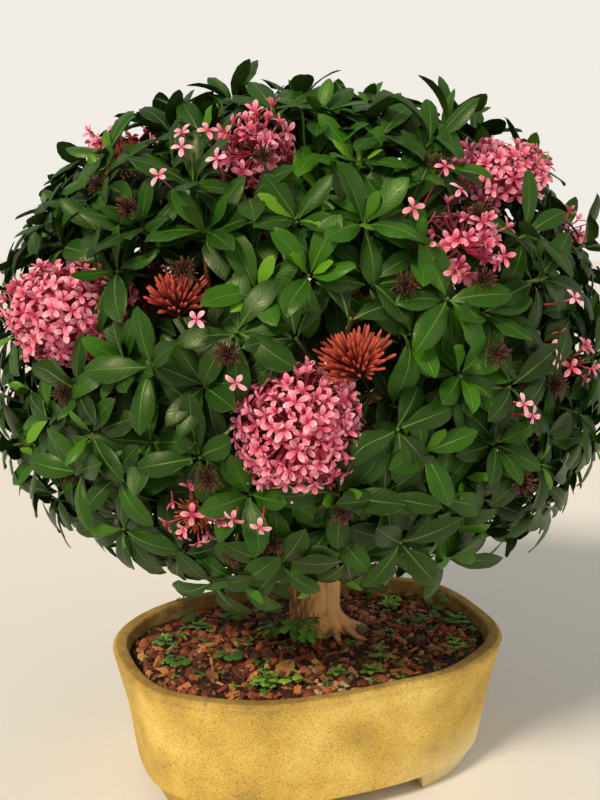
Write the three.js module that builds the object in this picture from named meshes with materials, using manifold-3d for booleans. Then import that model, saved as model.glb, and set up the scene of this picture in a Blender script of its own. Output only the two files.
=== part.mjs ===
// An ixora grown as a small round-headed tree in an oblong bonsai pot.
// Millimetres, +Z up. The front of the plant faces -Y, and azimuths turn from there towards +X.
// The origin is under the middle of the whole plant, on the surface that the pot's feet stand on.

import * as THREE from "three";
import { ConvexHull } from "three/addons/math/ConvexHull.js";
import { mergeVertices } from "three/addons/utils/BufferGeometryUtils.js";
import Module from "manifold-3d";

const wasm = await Module();
wasm.setup();

// ---------------------------------------------------------------- driving dimensions

const SEED = 20261;

// The clearance between two pieces that touch, and how far a cutting shape runs past what it cuts.
const GAP = 0.3;
const OVERCUT = 1;

const POT = {
  length: 300,
  width: 219,
  height: 101,
  squareness: 2.54,
  turn: -20,
  wall: 9,
  lip: 3,
  lipDepth: 16,
  lipCrest: 6.4,
  lipRound: 2,
  taper: 0.145,
  heel: 8,
  heelRise: 6,
  footHeight: 10,
  footLength: 84,
  footWidth: 68,
  footInset: 5,
  archSlope: 4,
  archRise: 7,
  floor: 12,
  floorRound: 4,
  floorRise: 12,
  drainRadius: 9,
  drainOffset: 70,
  sides: 32,
};

const SOIL = { drop: 9, mound: 6, moundRadius: 62, slope: 0.035, chip: 1.9, rings: 5, sides: 28, clear: 0.5 };

const TRUNK = {
  x: 11,
  y: 14,
  stump: { x: 5, y: 16, halfWidth: 23, halfDepth: 18, sides: 12, depth: 42, shoulder: 2, neck: 10, inset: 4 },
  girth: 15,
  sides: 9,
  bend: { x: 9, rise: 22 },
  fork: { x: 14, y: 16, z: 184 },
  second: { girth: 7, sides: 6, foot: { x: -5, y: 18 }, knee: { x: -9, y: 20 }, hip: { x: -15, y: 20 } },
};

// The rounds of forking above the trunk: how many branches, how far out towards the crown's surface they end,
// how much higher than that line, their radii and sides, and the knot that each ends in.
const LIMBS = { count: 6, reach: 0.2, rise: -4, radii: [7.5, 5.5], sides: 5, knot: 7 };
const BOUGHS = { count: 16, reach: 0.4, rise: 1, radii: [3.4], sides: 4, knot: 4.5 };
const TWIGS = { radius: 2, sides: 3 };

// Where the last ring of a branch lies before its knot, in the knot's radii.
const COLLAR = 1.3;

const CROWN = {
  x: -6,
  y: 10,
  z: 290,
  halfWidth: 227,
  halfDepth: 198,
  rise: 218,
  drop: 128,
  roundness: 2.4,
  lowest: 180,
  heart: 235,
};

const LEAF = { length: 37, width: 15.5, tilt: 34, droop: 30, fold: 14, rib: 1.3, perRosette: 4 };

// The widest sections of a leaf: how far along it, and half the width there as a share of the leaf's.
const LEAF_STATIONS = [
  { at: 0.44, half: 0.48 },
  { at: 0.75, half: 0.41 },
];

// A spray's fork lies under the crown's surface, and its three rosettes spread round the line through the fork.
const SHOOT = { sprays: 32, spread: 33, forkDepth: 66, stem: 24, twig: 1.5, hub: 2.1, hubDepth: 20, headRoom: 52 };

// The stem of a head, from its core down to the wood.
const HEAD_STEM = { core: 0.6, length: 46, neck: 5 };

const FLORET = { petal: 10.4, waist: 0.4, cup: 1.0, margin: 0.97 };

const BUD = { length: 20, girth: 1.7, belly: 0.78 };

// How the kinds of head are built. The seat is how deep the middle lies under the crown's surface, and the
// core is the knob that everything springs from, both as shares of the head's radius.
const HEAD_KINDS = {
  full: { seat: 0.62, core: 0.62, corePoints: 23, sprouts: 28, petal: FLORET.petal },
  loose: { seat: 0.7, core: 0.2, petal: 8.6 },
  buds: { seat: 1 },
  spent: { seat: 1.1, core: 0.42, corePoints: 14, sprouts: 22 },
};

// Heads as the azimuth and height of their place on the crown, with their radius.
const FULL_HEADS = [
  { name: "left", azimuth: -49, z: 365, radius: 39 },
  { name: "centre", azimuth: -1, z: 300, radius: 37 },
  { name: "top_right", azimuth: 62, z: 448, radius: 35 },
  { name: "back_left", azimuth: -140, z: 350, radius: 38 },
  { name: "back_right", azimuth: 135, z: 395, radius: 36 },
];

const LOOSE_HEADS = [
  { name: "right", azimuth: 34, z: 410, radius: 30, florets: 14 },
  { name: "right_edge", azimuth: 84, z: 415, radius: 20, florets: 7 },
  { name: "right_low", azimuth: 53, z: 330, radius: 20, florets: 7 },
  { name: "top", azimuth: -12, z: 476, radius: 30, florets: 14 },
  { name: "top_left", azimuth: -70, z: 474, radius: 31, florets: 14 },
  { name: "low_left", azimuth: -18, z: 240, radius: 21, florets: 9 },
  { name: "back_top", azimuth: 180, z: 462, radius: 28, florets: 12 },
  { name: "back_low", azimuth: 170, z: 270, radius: 24, florets: 9 },
];

const BUD_HEADS = [
  { name: "centre", azimuth: 10, z: 331, radius: 27, buds: 22, lean: [0.75, 0.7] },
  { name: "left", azimuth: -22, z: 371, radius: 26, buds: 18, lean: [0.2, 0.6] },
  { name: "back", azimuth: -175, z: 375, radius: 26, buds: 20, lean: [0, 0.3] },
];

const SPENT_HEADS = [
  { name: "left", azimuth: -44, z: 258, radius: 13 },
  { name: "right", azimuth: 46, z: 253, radius: 13 },
  { name: "back", azimuth: 110, z: 300, radius: 13 },
];

// The sprays that show most, placed first: the others fill the crown between them and the heads.
const FRONT_SPRAYS = [
  { azimuth: -4, z: 226 },
  { azimuth: -9, z: 412 },
  { azimuth: 24, z: 378 },
  { azimuth: 27, z: 298 },
  { azimuth: -24, z: 316 },
];

// Weeds as distances from the middle of the pot, with their height and leaf length.
const WEEDS = [
  { name: "clover_left", x: -33, y: 21, height: 13, leaf: 9, leaves: 3 },
  { name: "clover_right", x: -4, y: -14, height: 15, leaf: 9, leaves: 3 },
  { name: "seedling_front", x: -32, y: -86, height: 14, leaf: 12, leaves: 4 },
  { name: "seedling_right", x: 52, y: -45, height: 13, leaf: 12, leaves: 4 },
  { name: "seedling_back", x: 67, y: 60, height: 14, leaf: 12, leaves: 4 },
];

const WEED = { root: 6, stem: 0.9, hole: 1.9, holeRise: 9, hub: 1, broad: 0.75, tilt: 14, droop: 24, rib: 0.9 };

const COLOURS = {
  pot: 0xcfae5c,
  soil: 0x3a2419,
  wood: 0x9a7550,
  leaf: 0x2b5a1c,
  petal: 0xe0708a,
  bud: 0xc8503f,
  spent: 0x5a2e22,
  weed: 0x5c8a3a,
};

// ---------------------------------------------------------------- small tools

const UP = new THREE.Vector3(0, 0, 1);
const GOLDEN_ANGLE = Math.PI * (3 - Math.sqrt(5));
const rad = THREE.MathUtils.degToRad;

const vec = (x, y, z) => new THREE.Vector3(x, y, z);
const lerp = THREE.MathUtils.lerp;

// Where the shoots point away from.
const HEART = vec(CROWN.x, CROWN.y, CROWN.heart);

// Seeded draws: the same plant grows every time.
function seededDraws(seed) {
  let state = seed;
  return (low, high) => {
    state = (state * 1664525 + 1013904223) % 4294967296;
    return lerp(low, high, state / 4294967296);
  };
}

// Two directions across an axis, so that (first, second, axis) is right-handed.
function across(axis) {
  const helper = Math.abs(axis.z) < 0.9 ? UP : vec(1, 0, 0);
  const first = vec().crossVectors(helper, axis).normalize();
  return [first, vec().crossVectors(axis, first)];
}

function middle(points) {
  return points.reduce((sum, p) => sum.add(p), vec(0, 0, 0)).divideScalar(points.length);
}

// A ring of points round an axis, anticlockwise as seen from where the axis points to.
function ringPoints(centre, axis, radius, count, turn = 0) {
  const [u, v] = across(axis);
  return Array.from({ length: count }, (_, i) => {
    const angle = turn + (2 * Math.PI * i) / count;
    return centre
      .clone()
      .addScaledVector(u, radius * Math.cos(angle))
      .addScaledVector(v, radius * Math.sin(angle));
  });
}

// A closed surface put together from points, bands between rings, and caps.
class Body {
  points = [];
  faces = [];

  add(points) {
    return points.map((p) => this.points.push(p.clone()) - 1);
  }

  // The end of a run that grew along its axis.
  cap(ring) {
    for (let i = 1; i < ring.length - 1; i++) this.faces.push([ring[0], ring[i], ring[i + 1]]);
  }

  // The start of a run.
  capStart(ring) {
    this.cap([...ring].reverse());
  }

  fan(ring, apex) {
    ring.forEach((a, i) => this.faces.push([a, ring[(i + 1) % ring.length], apex]));
  }

  // A band from one ring to the next with any number of points in each, joined by their angles.
  band(low, high) {
    const lowMiddle = middle(low.map((i) => this.points[i]));
    const highMiddle = middle(high.map((i) => this.points[i]));
    const [u, v] = across(vec().subVectors(highMiddle, lowMiddle).normalize());
    const angle = (i, from) => {
      const d = vec().subVectors(this.points[i], from);
      return Math.atan2(d.dot(v), d.dot(u));
    };
    const turnTo = (from, to) => ((to - from) % (2 * Math.PI) + 2 * Math.PI) % (2 * Math.PI);
    const start = angle(low[0], lowMiddle);
    const lowAngles = low.map((i) => turnTo(start, angle(i, lowMiddle)));
    const gaps = high.map((i) => {
      const turn = turnTo(start, angle(i, highMiddle));
      return turn > Math.PI ? turn - 2 * Math.PI : turn;
    });
    const first = gaps.indexOf(gaps.reduce((a, b) => (Math.abs(b) < Math.abs(a) ? b : a)));
    const highRing = high.map((_, k) => high[(first + k) % high.length]);
    const highAngles = highRing.map((_, k) => {
      const turn = turnTo(start, angle(highRing[k], highMiddle));
      return k === 0 ? gaps[first] : turn;
    });
    let i = 0;
    let j = 0;
    while (i < low.length || j < high.length) {
      const nextLow = i + 1 < low.length ? lowAngles[i + 1] : 2 * Math.PI;
      const nextHigh = j + 1 < high.length ? highAngles[j + 1] : 2 * Math.PI + gaps[first];
      const a = low[i % low.length];
      const b = highRing[j % high.length];
      if (j >= high.length || (i < low.length && nextLow <= nextHigh)) {
        this.faces.push([a, low[(i + 1) % low.length], b]);
        i++;
      } else {
        this.faces.push([a, highRing[(j + 1) % high.length], b]);
        j++;
      }
    }
  }

  // A band between two rings with as many points each, point to point.
  weave(low, high) {
    low.forEach((a, i) => {
      const next = (i + 1) % low.length;
      this.faces.push([a, low[next], high[next]]);
      this.faces.push([a, high[next], high[i]]);
    });
  }

  geometry() {
    return geometryFrom(this.points.flatMap((p) => p.toArray()), this.faces.flat());
  }
}

function geometryFrom(positions, index) {
  const made = new THREE.BufferGeometry();
  made.setAttribute("position", new THREE.Float32BufferAttribute(positions, 3));
  made.setIndex(index);
  return made;
}

function solidOf(body) {
  const merged = mergeVertices(body.geometry(), 1e-4);
  return new wasm.Manifold(
    new wasm.Mesh({
      numProp: 3,
      vertProperties: merged.attributes.position.array,
      triVerts: new Uint32Array(merged.index.array),
    }),
  );
}

function geometryOf(solid) {
  const mesh = solid.getMesh();
  return geometryFrom(mesh.vertProperties, Array.from(mesh.triVerts));
}

// A closed tube through a list of points, with a radius at each.
function tube(points, radii, sides) {
  const body = new Body();
  const rings = points.map((p, i) => {
    const from = points[Math.max(i - 1, 0)];
    const to = points[Math.min(i + 1, points.length - 1)];
    return body.add(ringPoints(p, vec().subVectors(to, from).normalize(), radii[i], sides));
  });
  body.capStart(rings[0]);
  rings.slice(1).forEach((ring, i) => body.band(rings[i], ring));
  body.cap(rings[rings.length - 1]);
  return body;
}

// ---------------------------------------------------------------- the pot and its soil

// The outline of the pot, drawn in from its rim by an inset, at a height.
function potOutline(inset, z, sides = POT.sides) {
  const turn = rad(POT.turn);
  return Array.from({ length: sides }, (_, i) => {
    const angle = (2 * Math.PI * i) / sides;
    const power = 2 / POT.squareness;
    const c = Math.cos(angle);
    const s = Math.sin(angle);
    const x = Math.sign(c) * Math.abs(c) ** power * (POT.length / 2 - inset);
    const y = Math.sign(s) * Math.abs(s) ** power * (POT.width / 2 - inset);
    return vec(x * Math.cos(turn) + y * Math.sin(turn), y * Math.cos(turn) - x * Math.sin(turn), z);
  });
}

function lofted(outlines) {
  const body = new Body();
  const rings = outlines.map((outline) => body.add(outline));
  body.capStart(rings[0]);
  rings.slice(1).forEach((ring, i) => body.weave(rings[i], ring));
  body.cap(rings[rings.length - 1]);
  return body;
}

function wallInset(z) {
  return POT.lip + (POT.height - z) * POT.taper;
}

function innerInset(z) {
  return wallInset(z) + POT.wall;
}

// A place in the pot's own length and width, turned as the pot stands.
function potPlace(along, acrossPot, z) {
  const turn = rad(POT.turn);
  return vec(
    along * Math.cos(turn) + acrossPot * Math.sin(turn),
    acrossPot * Math.cos(turn) - along * Math.sin(turn),
    z,
  );
}

function potSolid() {
  const under = POT.footHeight;
  const floor = under + POT.floor;
  const heel = under + POT.heelRise;
  const lipFoot = POT.height - POT.lipDepth;
  const outside = lofted([
    potOutline(wallInset(under) + POT.heel, under),
    potOutline(wallInset(heel), heel),
    potOutline(wallInset(lipFoot), lipFoot),
    potOutline(0, POT.height - POT.lipCrest),
    potOutline(POT.lipRound, POT.height),
  ]);
  const inside = lofted([
    potOutline(innerInset(floor) + POT.floorRound, floor),
    potOutline(innerInset(floor + POT.floorRise), floor + POT.floorRise),
    potOutline(innerInset(POT.height), POT.height + OVERCUT),
  ]);
  let pot = solidOf(outside).subtract(solidOf(inside));
  for (const side of [-1, 1]) {
    const ends = [under - OVERCUT, floor + OVERCUT].map((z) => potPlace(side * POT.drainOffset, 0, z));
    pot = pot.subtract(solidOf(tube(ends, [POT.drainRadius, POT.drainRadius], 12)));
  }
  return pot.add(feetSolid(heel));
}

// Feet: the corners of the wall carried down to the ground, with a cross-shaped passage between them.
function feetSolid(top) {
  const skirt = lofted([
    potOutline(wallInset(0) + POT.footInset, 0),
    potOutline(wallInset(top) + POT.wall / 4, top),
  ]);
  return solidOf(skirt)
    .subtract(passage(POT.length / 2 - POT.footLength, POT.width))
    .subtract(passage(POT.length, POT.width / 2 - POT.footWidth));
}

// A sloping-sided passage under the pot, as long and as wide as given from the middle.
function passage(halfLength, halfWidth) {
  const corners = [
    [-1, -1],
    [1, -1],
    [1, 1],
    [-1, 1],
  ];
  const box = (grow, z) =>
    corners.map(([sx, sy]) => potPlace(sx * (halfLength + grow), sy * (halfWidth + grow), z));
  return solidOf(lofted([box(POT.archSlope, -OVERCUT), box(-POT.archSlope, POT.footHeight + POT.archRise)]));
}

function soilHeight(x, y) {
  const fromTrunk = ((x - TRUNK.x) ** 2 + (y - TRUNK.y) ** 2) / SOIL.moundRadius ** 2;
  return POT.height - SOIL.drop + SOIL.mound * Math.exp(-fromTrunk) - y * SOIL.slope;
}

const GROUND = soilHeight(TRUNK.x, TRUNK.y);

function stumpOutline(grow, z) {
  const { x, y, halfWidth, halfDepth, sides } = TRUNK.stump;
  return Array.from({ length: sides }, (_, i) => {
    const angle = (2 * Math.PI * i) / sides;
    return vec(x + (halfWidth + grow) * Math.cos(angle), y + (halfDepth + grow) * Math.sin(angle), z);
  });
}

function soilSolid() {
  const draw = seededDraws(SEED + 1);
  const bottom = POT.footHeight + POT.floor + GAP;
  const body = new Body();
  const knee = bottom + POT.floorRise;
  const edge = innerInset(POT.height - SOIL.drop * 2) + SOIL.clear;
  const low = body.add(potOutline(innerInset(bottom) + POT.floorRound + SOIL.clear, bottom, SOIL.sides));
  const mid = body.add(potOutline(innerInset(knee) + SOIL.clear, knee, SOIL.sides));
  body.capStart(low);
  body.weave(low, mid);
  let last = mid;
  for (let k = 0; k < SOIL.rings; k++) {
    const share = 1 - k / SOIL.rings;
    const outline = potOutline(edge, 0, SOIL.sides).map((p) => {
      const x = p.x * share;
      const y = p.y * share;
      const chip = k === 0 ? 0 : draw(-SOIL.chip, SOIL.chip);
      return vec(x, y, soilHeight(x, y) + chip);
    });
    const ring = body.add(outline);
    body.weave(last, ring);
    last = ring;
  }
  const [centre] = body.add([vec(0, 0, soilHeight(0, 0))]);
  body.fan(last, centre);
  const pit = lofted([
    stumpOutline(GAP, GROUND - TRUNK.stump.depth - GAP),
    stumpOutline(GAP, GROUND + TRUNK.stump.depth),
  ]);
  let soil = solidOf(body).subtract(solidOf(pit));
  for (const weed of WEEDS) {
    const ground = soilHeight(weed.x, weed.y);
    const ends = [-WEED.root - OVERCUT, WEED.holeRise].map((z) => vec(weed.x, weed.y, ground + z));
    soil = soil.subtract(solidOf(tube(ends, [WEED.hole, WEED.hole], 4)));
  }
  return soil;
}

// ---------------------------------------------------------------- the crown

// How wide the crown is at a height, as a share of its full width.
function crownWidth(z) {
  const t = Math.min(Math.abs(z - CROWN.z) / (z > CROWN.z ? CROWN.rise : CROWN.drop), 1);
  return (1 - t ** CROWN.roundness) ** (1 / CROWN.roundness);
}

function crownPoint(azimuth, z) {
  const w = crownWidth(z);
  return vec(
    CROWN.x + CROWN.halfWidth * w * Math.sin(azimuth),
    CROWN.y - CROWN.halfDepth * w * Math.cos(azimuth),
    z,
  );
}

function crownNormal(point) {
  const t = (point.z - CROWN.z) / (point.z > CROWN.z ? CROWN.rise : CROWN.drop);
  const tall = point.z > CROWN.z ? CROWN.rise : CROWN.drop;
  const x = (point.x - CROWN.x) / CROWN.halfWidth;
  const y = (point.y - CROWN.y) / CROWN.halfDepth;
  const w = Math.max(Math.hypot(x, y), 1e-6);
  const m = CROWN.roundness;
  return vec(
    (w ** (m - 2) * x) / CROWN.halfWidth,
    (w ** (m - 2) * y) / CROWN.halfDepth,
    (Math.sign(t) * Math.abs(t) ** (m - 1)) / tall,
  ).normalize();
}

// Where the line from the crown's middle through a point meets the surface of its upper half.
function ontoCrown(point) {
  const away = vec(point.x - CROWN.x, point.y - CROWN.y, point.z - CROWN.z);
  const w = Math.hypot(away.x / CROWN.halfWidth, away.y / CROWN.halfDepth);
  const m = CROWN.roundness;
  const size = (w ** m + Math.abs(away.z / CROWN.rise) ** m) ** (1 / m);
  return vec(CROWN.x, CROWN.y, CROWN.z).addScaledVector(away, 1 / size);
}

// Places spread evenly over the crown's area, from its top down to its lowest leaves.
function crownPlaces(count) {
  const steps = 240;
  const top = CROWN.z + CROWN.rise * 0.995;
  const areas = [0];
  const heights = [top];
  for (let i = 1; i <= steps; i++) {
    const z = lerp(top, CROWN.lowest, i / steps);
    const w0 = crownWidth(heights[i - 1]) * CROWN.halfWidth;
    const w1 = crownWidth(z) * CROWN.halfWidth;
    const slant = Math.hypot(heights[i - 1] - z, w1 - w0);
    heights.push(z);
    areas.push(areas[i - 1] + slant * (w0 + w1));
  }
  return Array.from({ length: count }, (_, k) => {
    const wanted = (areas[steps] * (k + 0.5)) / count;
    const i = areas.findIndex((a) => a >= wanted);
    const share = (wanted - areas[i - 1]) / (areas[i] - areas[i - 1]);
    return crownPoint(k * GOLDEN_ANGLE, lerp(heights[i - 1], heights[i], share));
  });
}

// ---------------------------------------------------------------- clearance

const NEAR = 0.6;

function boxOf(points) {
  return new THREE.Box3().setFromPoints(points).expandByScalar(NEAR);
}

// Whether a straight edge passes through a triangle.
function pierces(p, q, a, b, c) {
  const e1 = vec().subVectors(b, a);
  const e2 = vec().subVectors(c, a);
  const d = vec().subVectors(q, p);
  const h = vec().crossVectors(d, e2);
  const det = e1.dot(h);
  if (Math.abs(det) < 1e-12) return false;
  const s = vec().subVectors(p, a);
  const u = s.dot(h) / det;
  if (u < 0 || u > 1) return false;
  const k = vec().crossVectors(s, e1);
  const v = d.dot(k) / det;
  if (v < 0 || u + v > 1) return false;
  const t = e2.dot(k) / det;
  return t >= 0 && t <= 1;
}

// An obstacle is a set of triangles with the box round them and the piece that they belong to.
function obstacle(owner, points, faces) {
  return { owner, points, faces, box: boxOf(points) };
}

function crosses(one, other) {
  if (!one.box.intersectsBox(other.box)) return false;
  const through = (from, to) =>
    from.faces.some((f) =>
      f.some((a, i) => {
        const p = from.points[a];
        const q = from.points[f[(i + 1) % 3]];
        return to.faces.some(([x, y, z]) => pierces(p, q, to.points[x], to.points[y], to.points[z]));
      }),
    );
  return through(one, other) || through(other, one);
}

function ballObstacle(owner, centre, radius) {
  const ball = mergeVertices(bare(new THREE.IcosahedronGeometry(radius / 0.86, 0)), 1e-3);
  const at = ball.attributes.position;
  const points = Array.from({ length: at.count }, (_, i) => vec().fromBufferAttribute(at, i).add(centre));
  const index = Array.from(ball.index.array);
  const faces = [];
  for (let i = 0; i < index.length; i += 3) faces.push(index.slice(i, i + 3));
  return obstacle(owner, points, faces);
}

function bare(geometry) {
  geometry.deleteAttribute("normal");
  geometry.deleteAttribute("uv");
  return geometry;
}

function rodObstacle(owner, from, to, radius) {
  const body = tube([from, to], [radius, radius], 3);
  return obstacle(owner, body.points, body.faces);
}

// ---------------------------------------------------------------- leaves

// The four-sided sections and the tip of a leaf that leaves its hub along a direction.
function leafSections(root, out, up, shape) {
  const side = vec().crossVectors(up, out);
  const along = (angle) => vec().addScaledVector(out, Math.cos(angle)).addScaledVector(up, Math.sin(angle));
  const sections = [];
  let place = root.clone();
  let reached = 0;
  for (const station of [...LEAF_STATIONS, { at: 1, half: 0 }]) {
    const step = (station.at - reached) * shape.length;
    const angle = rad(shape.tilt - (shape.droop * (reached + station.at)) / 2);
    place = place.clone().addScaledVector(along(angle), step);
    reached = station.at;
    const face = along(angle + Math.PI / 2);
    const half = station.half * shape.width;
    const lift = half * Math.tan(rad(shape.fold));
    sections.push(
      station.half === 0
        ? [place]
        : [
            place.clone().addScaledVector(side, half).addScaledVector(face, lift),
            place.clone().addScaledVector(face, shape.rib * 0.45),
            place.clone().addScaledVector(side, -half).addScaledVector(face, lift),
            place.clone().addScaledVector(face, -shape.rib * 0.55),
          ],
    );
  }
  return sections;
}

// Bands along a leaf: both faces are split alike, from the midrib towards the tip side of each edge.
function growLeaf(body, root, sections) {
  const rings = [root, ...sections.map((section) => body.add(section))];
  rings.slice(1).forEach((ring, k) => {
    const low = rings[k];
    if (ring.length === 1) {
      body.fan(low, ring[0]);
      return;
    }
    const [left, top, right, bottom] = low;
    const [farLeft, farTop, farRight, farBottom] = ring;
    body.faces.push([left, top, farLeft], [top, farTop, farLeft]);
    body.faces.push([top, right, farRight], [top, farRight, farTop]);
    body.faces.push([right, bottom, farRight], [bottom, farBottom, farRight]);
    body.faces.push([bottom, left, farLeft], [bottom, farLeft, farBottom]);
  });
}

// The same leaf a little larger, used to keep its distance from what is there already.
function leafObstacle(owner, root, out, up, shape) {
  const roomy = { ...shape, width: shape.width + 1.2, length: shape.length + 1, rib: shape.rib + 1.4 };
  const body = new Body();
  const sections = leafSections(root, out, up, roomy);
  const start = [
    root.clone().addScaledVector(vec().crossVectors(up, out), 1.2),
    root.clone().addScaledVector(up, 1),
    root.clone().addScaledVector(vec().crossVectors(up, out), -1.2),
    root.clone().addScaledVector(up, -1),
  ].map((p) => p.addScaledVector(out, 0.8));
  const ring = body.add(start);
  body.capStart(ring);
  growLeaf(body, ring, sections);
  const way = middle(sections[0]).sub(root).normalize();
  return { ...obstacle(owner, body.points, body.faces), way };
}

// ---------------------------------------------------------------- leafy shoots

// A whorl of leaves round the end of a stem: returns the ring that the stem meets it with.
function growRosette(body, hub) {
  const { centre, up, turn, leaves, radius } = hub;
  const count = leaves.length;
  const [u, v] = across(up);
  const spoke = (angle, reach, height) =>
    centre
      .clone()
      .addScaledVector(u, reach * Math.cos(angle))
      .addScaledVector(v, reach * Math.sin(angle))
      .addScaledVector(up, height);
  const step = (2 * Math.PI) / count;
  const [apex] = body.add([spoke(0, 0, radius * 0.9)]);
  const between = body.add(leaves.map((_, i) => spoke(turn + (i - 0.5) * step, radius * 1.25, 0)));
  const under = body.add(leaves.map((_, i) => spoke(turn + i * step, radius, -radius * 1.1)));
  leaves.forEach((leaf, i) => {
    const next = (i + 1) % count;
    const root = [between[next], apex, between[i], under[i]];
    if (leaf) growLeaf(body, root, leafSections(leaf.root, leaf.out, leaf.up, leaf.shape));
    else body.cap(root);
    body.faces.push([under[i], under[next], between[next]]);
  });
  return under;
}

function leafPlace(hub, i) {
  const [u, v] = across(hub.up);
  const angle = hub.turn + (2 * Math.PI * i) / hub.leaves.length;
  const out = vec().addScaledVector(u, Math.cos(angle)).addScaledVector(v, Math.sin(angle));
  return { out, root: hub.centre.clone() };
}

// The least angle between two leaves of one rosette.
const FAN = rad(54);

// The ways a leaf can bend clear: how far it is raised, and how far it swings to one side, in degrees.
const POSTURES = [0, 12, -12, 22, -24, 32].flatMap((lift) => [0, 16, -16].map((swing) => [lift, swing]));

// A leaf takes the first of its postures that is clear of everything placed before it.
function settleLeaf(hub, i, shape, obstacles) {
  const { out, root } = leafPlace(hub, i);
  for (const [lift, swing] of POSTURES) {
    const turned = out.clone().applyAxisAngle(hub.up, rad(swing));
    const posture = { ...shape, tilt: shape.tilt + lift };
    const body = leafObstacle(hub.owner, root, turned, hub.up, posture);
    const blocked = obstacles.some((o) => (o.hub === hub ? body.way.angleTo(o.way) < FAN : crosses(body, o)));
    if (!blocked) {
      obstacles.push({ ...body, hub });
      return { root, out: turned, up: hub.up, shape: posture };
    }
  }
  return null;
}

// A spray: a stem from its branch to a fork, and from the fork a twig to each rosette.
function sprayBody(spray) {
  const body = new Body();
  const foot = body.add(ringPoints(spray.foot, spray.axis, SHOOT.twig * 1.15, 3, spray.turn));
  body.capStart(foot);
  const [u, v] = across(spray.axis);
  const corner = (angle, reach, height) =>
    spray.fork
      .clone()
      .addScaledVector(u, reach * Math.cos(angle))
      .addScaledVector(v, reach * Math.sin(angle))
      .addScaledVector(spray.axis, height);
  const size = SHOOT.twig * 1.5;
  const base = body.add([0, 1, 2].map((i) => corner(spray.turn + (2 * Math.PI * i) / 3, size, -size * 0.4)));
  const [peak] = body.add([corner(0, 0, size)]);
  body.band(foot, base);
  spray.hubs.forEach((hub, i) => {
    const side = [base[i], base[(i + 1) % 3], peak];
    body.band(side, growRosette(body, hub));
  });
  return body;
}

// ---------------------------------------------------------------- flower, bud and spent heads

// Directions spread evenly over a sphere: a spiral whose points then push each other apart.
function spreadDirections(count) {
  const points = Array.from({ length: count }, (_, i) => {
    const height = 1 - (2 * (i + 0.5)) / count;
    const reach = Math.sqrt(1 - height * height);
    return vec(reach * Math.cos(i * GOLDEN_ANGLE), reach * Math.sin(i * GOLDEN_ANGLE), height);
  });
  for (let round = 0; round < 80; round++) {
    const pushes = points.map((p) =>
      points.reduce((sum, q) => {
        const away = vec().subVectors(p, q);
        const far = away.length();
        return far > 0 ? sum.addScaledVector(away, 1 / far ** 3) : sum;
      }, vec(0, 0, 0)),
    );
    points.forEach((p, i) => p.addScaledVector(pushes[i], 0.6 / count).normalize());
  }
  return points;
}

// The faces of a small rounded core, as rings of three points seen from outside.
function coreFaces(centre, axis, radius, count) {
  const [u, v] = across(axis);
  const points = spreadDirections(count).map((d) =>
    centre
      .clone()
      .addScaledVector(u, radius * d.x)
      .addScaledVector(v, radius * d.y)
      .addScaledVector(axis, radius * d.z),
  );
  return new ConvexHull().setFromPoints(points).faces.map(({ edge }) => [
    edge.head().point,
    edge.next.head().point,
    edge.next.next.head().point,
  ]);
}

// Gives each corner of a core one place in the body, however many faces share it.
function cornerIndex(body) {
  const known = new Map();
  return (p) => {
    if (!known.has(p)) known.set(p, body.add([p])[0]);
    return known.get(p);
  };
}

// The middle of the circle that fits in a triangle, and its radius.
function incircle([a, b, c]) {
  const sides = [b.distanceTo(c), c.distanceTo(a), a.distanceTo(b)];
  const round = sides[0] + sides[1] + sides[2];
  const centre = vec()
    .addScaledVector(a, sides[0] / round)
    .addScaledVector(b, sides[1] / round)
    .addScaledVector(c, sides[2] / round);
  return { centre, radius: new THREE.Triangle(a, b, c).getArea() / (round / 2) };
}

// A head: a core whose lowest face runs down into the stem, and whose other faces each sprout.
function headBody(head, sprout) {
  const body = new Body();
  const faces = coreFaces(head.centre, head.axis, head.core, head.corePoints);
  const index = cornerIndex(body);
  const outward = (face) => incircle(face).centre.sub(head.centre).normalize();
  const down = vec().subVectors(head.foot, head.centre).normalize();
  const lowest = faces.reduce((a, b) => (outward(a).dot(down) > outward(b).dot(down) ? a : b));
  const order = faces.filter((face) => face !== lowest);
  order.sort((a, b) => outward(b).dot(head.axis) - outward(a).dot(head.axis));
  order.forEach((face, rank) => {
    const ring = face.map(index);
    if (rank < head.sprouts) sprout(body, ring, head, outward(face), incircle(face).radius);
    else body.cap(ring);
  });
  const chin = head.centre.clone().addScaledVector(down, head.core + HEAD_STEM.neck);
  const neck = body.add(ringPoints(chin, down, SHOOT.twig, 3));
  const foot = body.add(ringPoints(head.foot, down, SHOOT.twig * 1.1, 3));
  body.band(lowest.map(index), neck);
  body.weave(neck, foot);
  body.cap(foot);
  return body;
}

// A floret: a tube widening from the core to a star of four petals, inside its own share of the head.
function growFloret(body, ring, head, out, room) {
  const reach = head.radius * head.draw(0.955, 1);
  const petal = Math.min(head.petal, (room * (reach - 2 * FLORET.cup)) / head.core) * FLORET.margin;
  const [u, v] = across(out);
  const turn = head.draw(0, Math.PI / 2);
  const at = (angle, distance, height) =>
    head.centre
      .clone()
      .addScaledVector(out, height)
      .addScaledVector(u, distance * Math.cos(angle))
      .addScaledVector(v, distance * Math.sin(angle));
  const star = Array.from({ length: 8 }, (_, i) => {
    const angle = turn + (Math.PI * i) / 4;
    const notch = at(angle, petal * FLORET.waist, reach - FLORET.cup);
    return i % 2 ? notch : at(angle, petal, reach - FLORET.cup * 1.6);
  });
  const rim = body.add(star);
  const [eye] = body.add([at(0, 0, reach - FLORET.cup * 0.4)]);
  body.band(ring, rim);
  body.fan(rim, eye);
}

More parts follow.
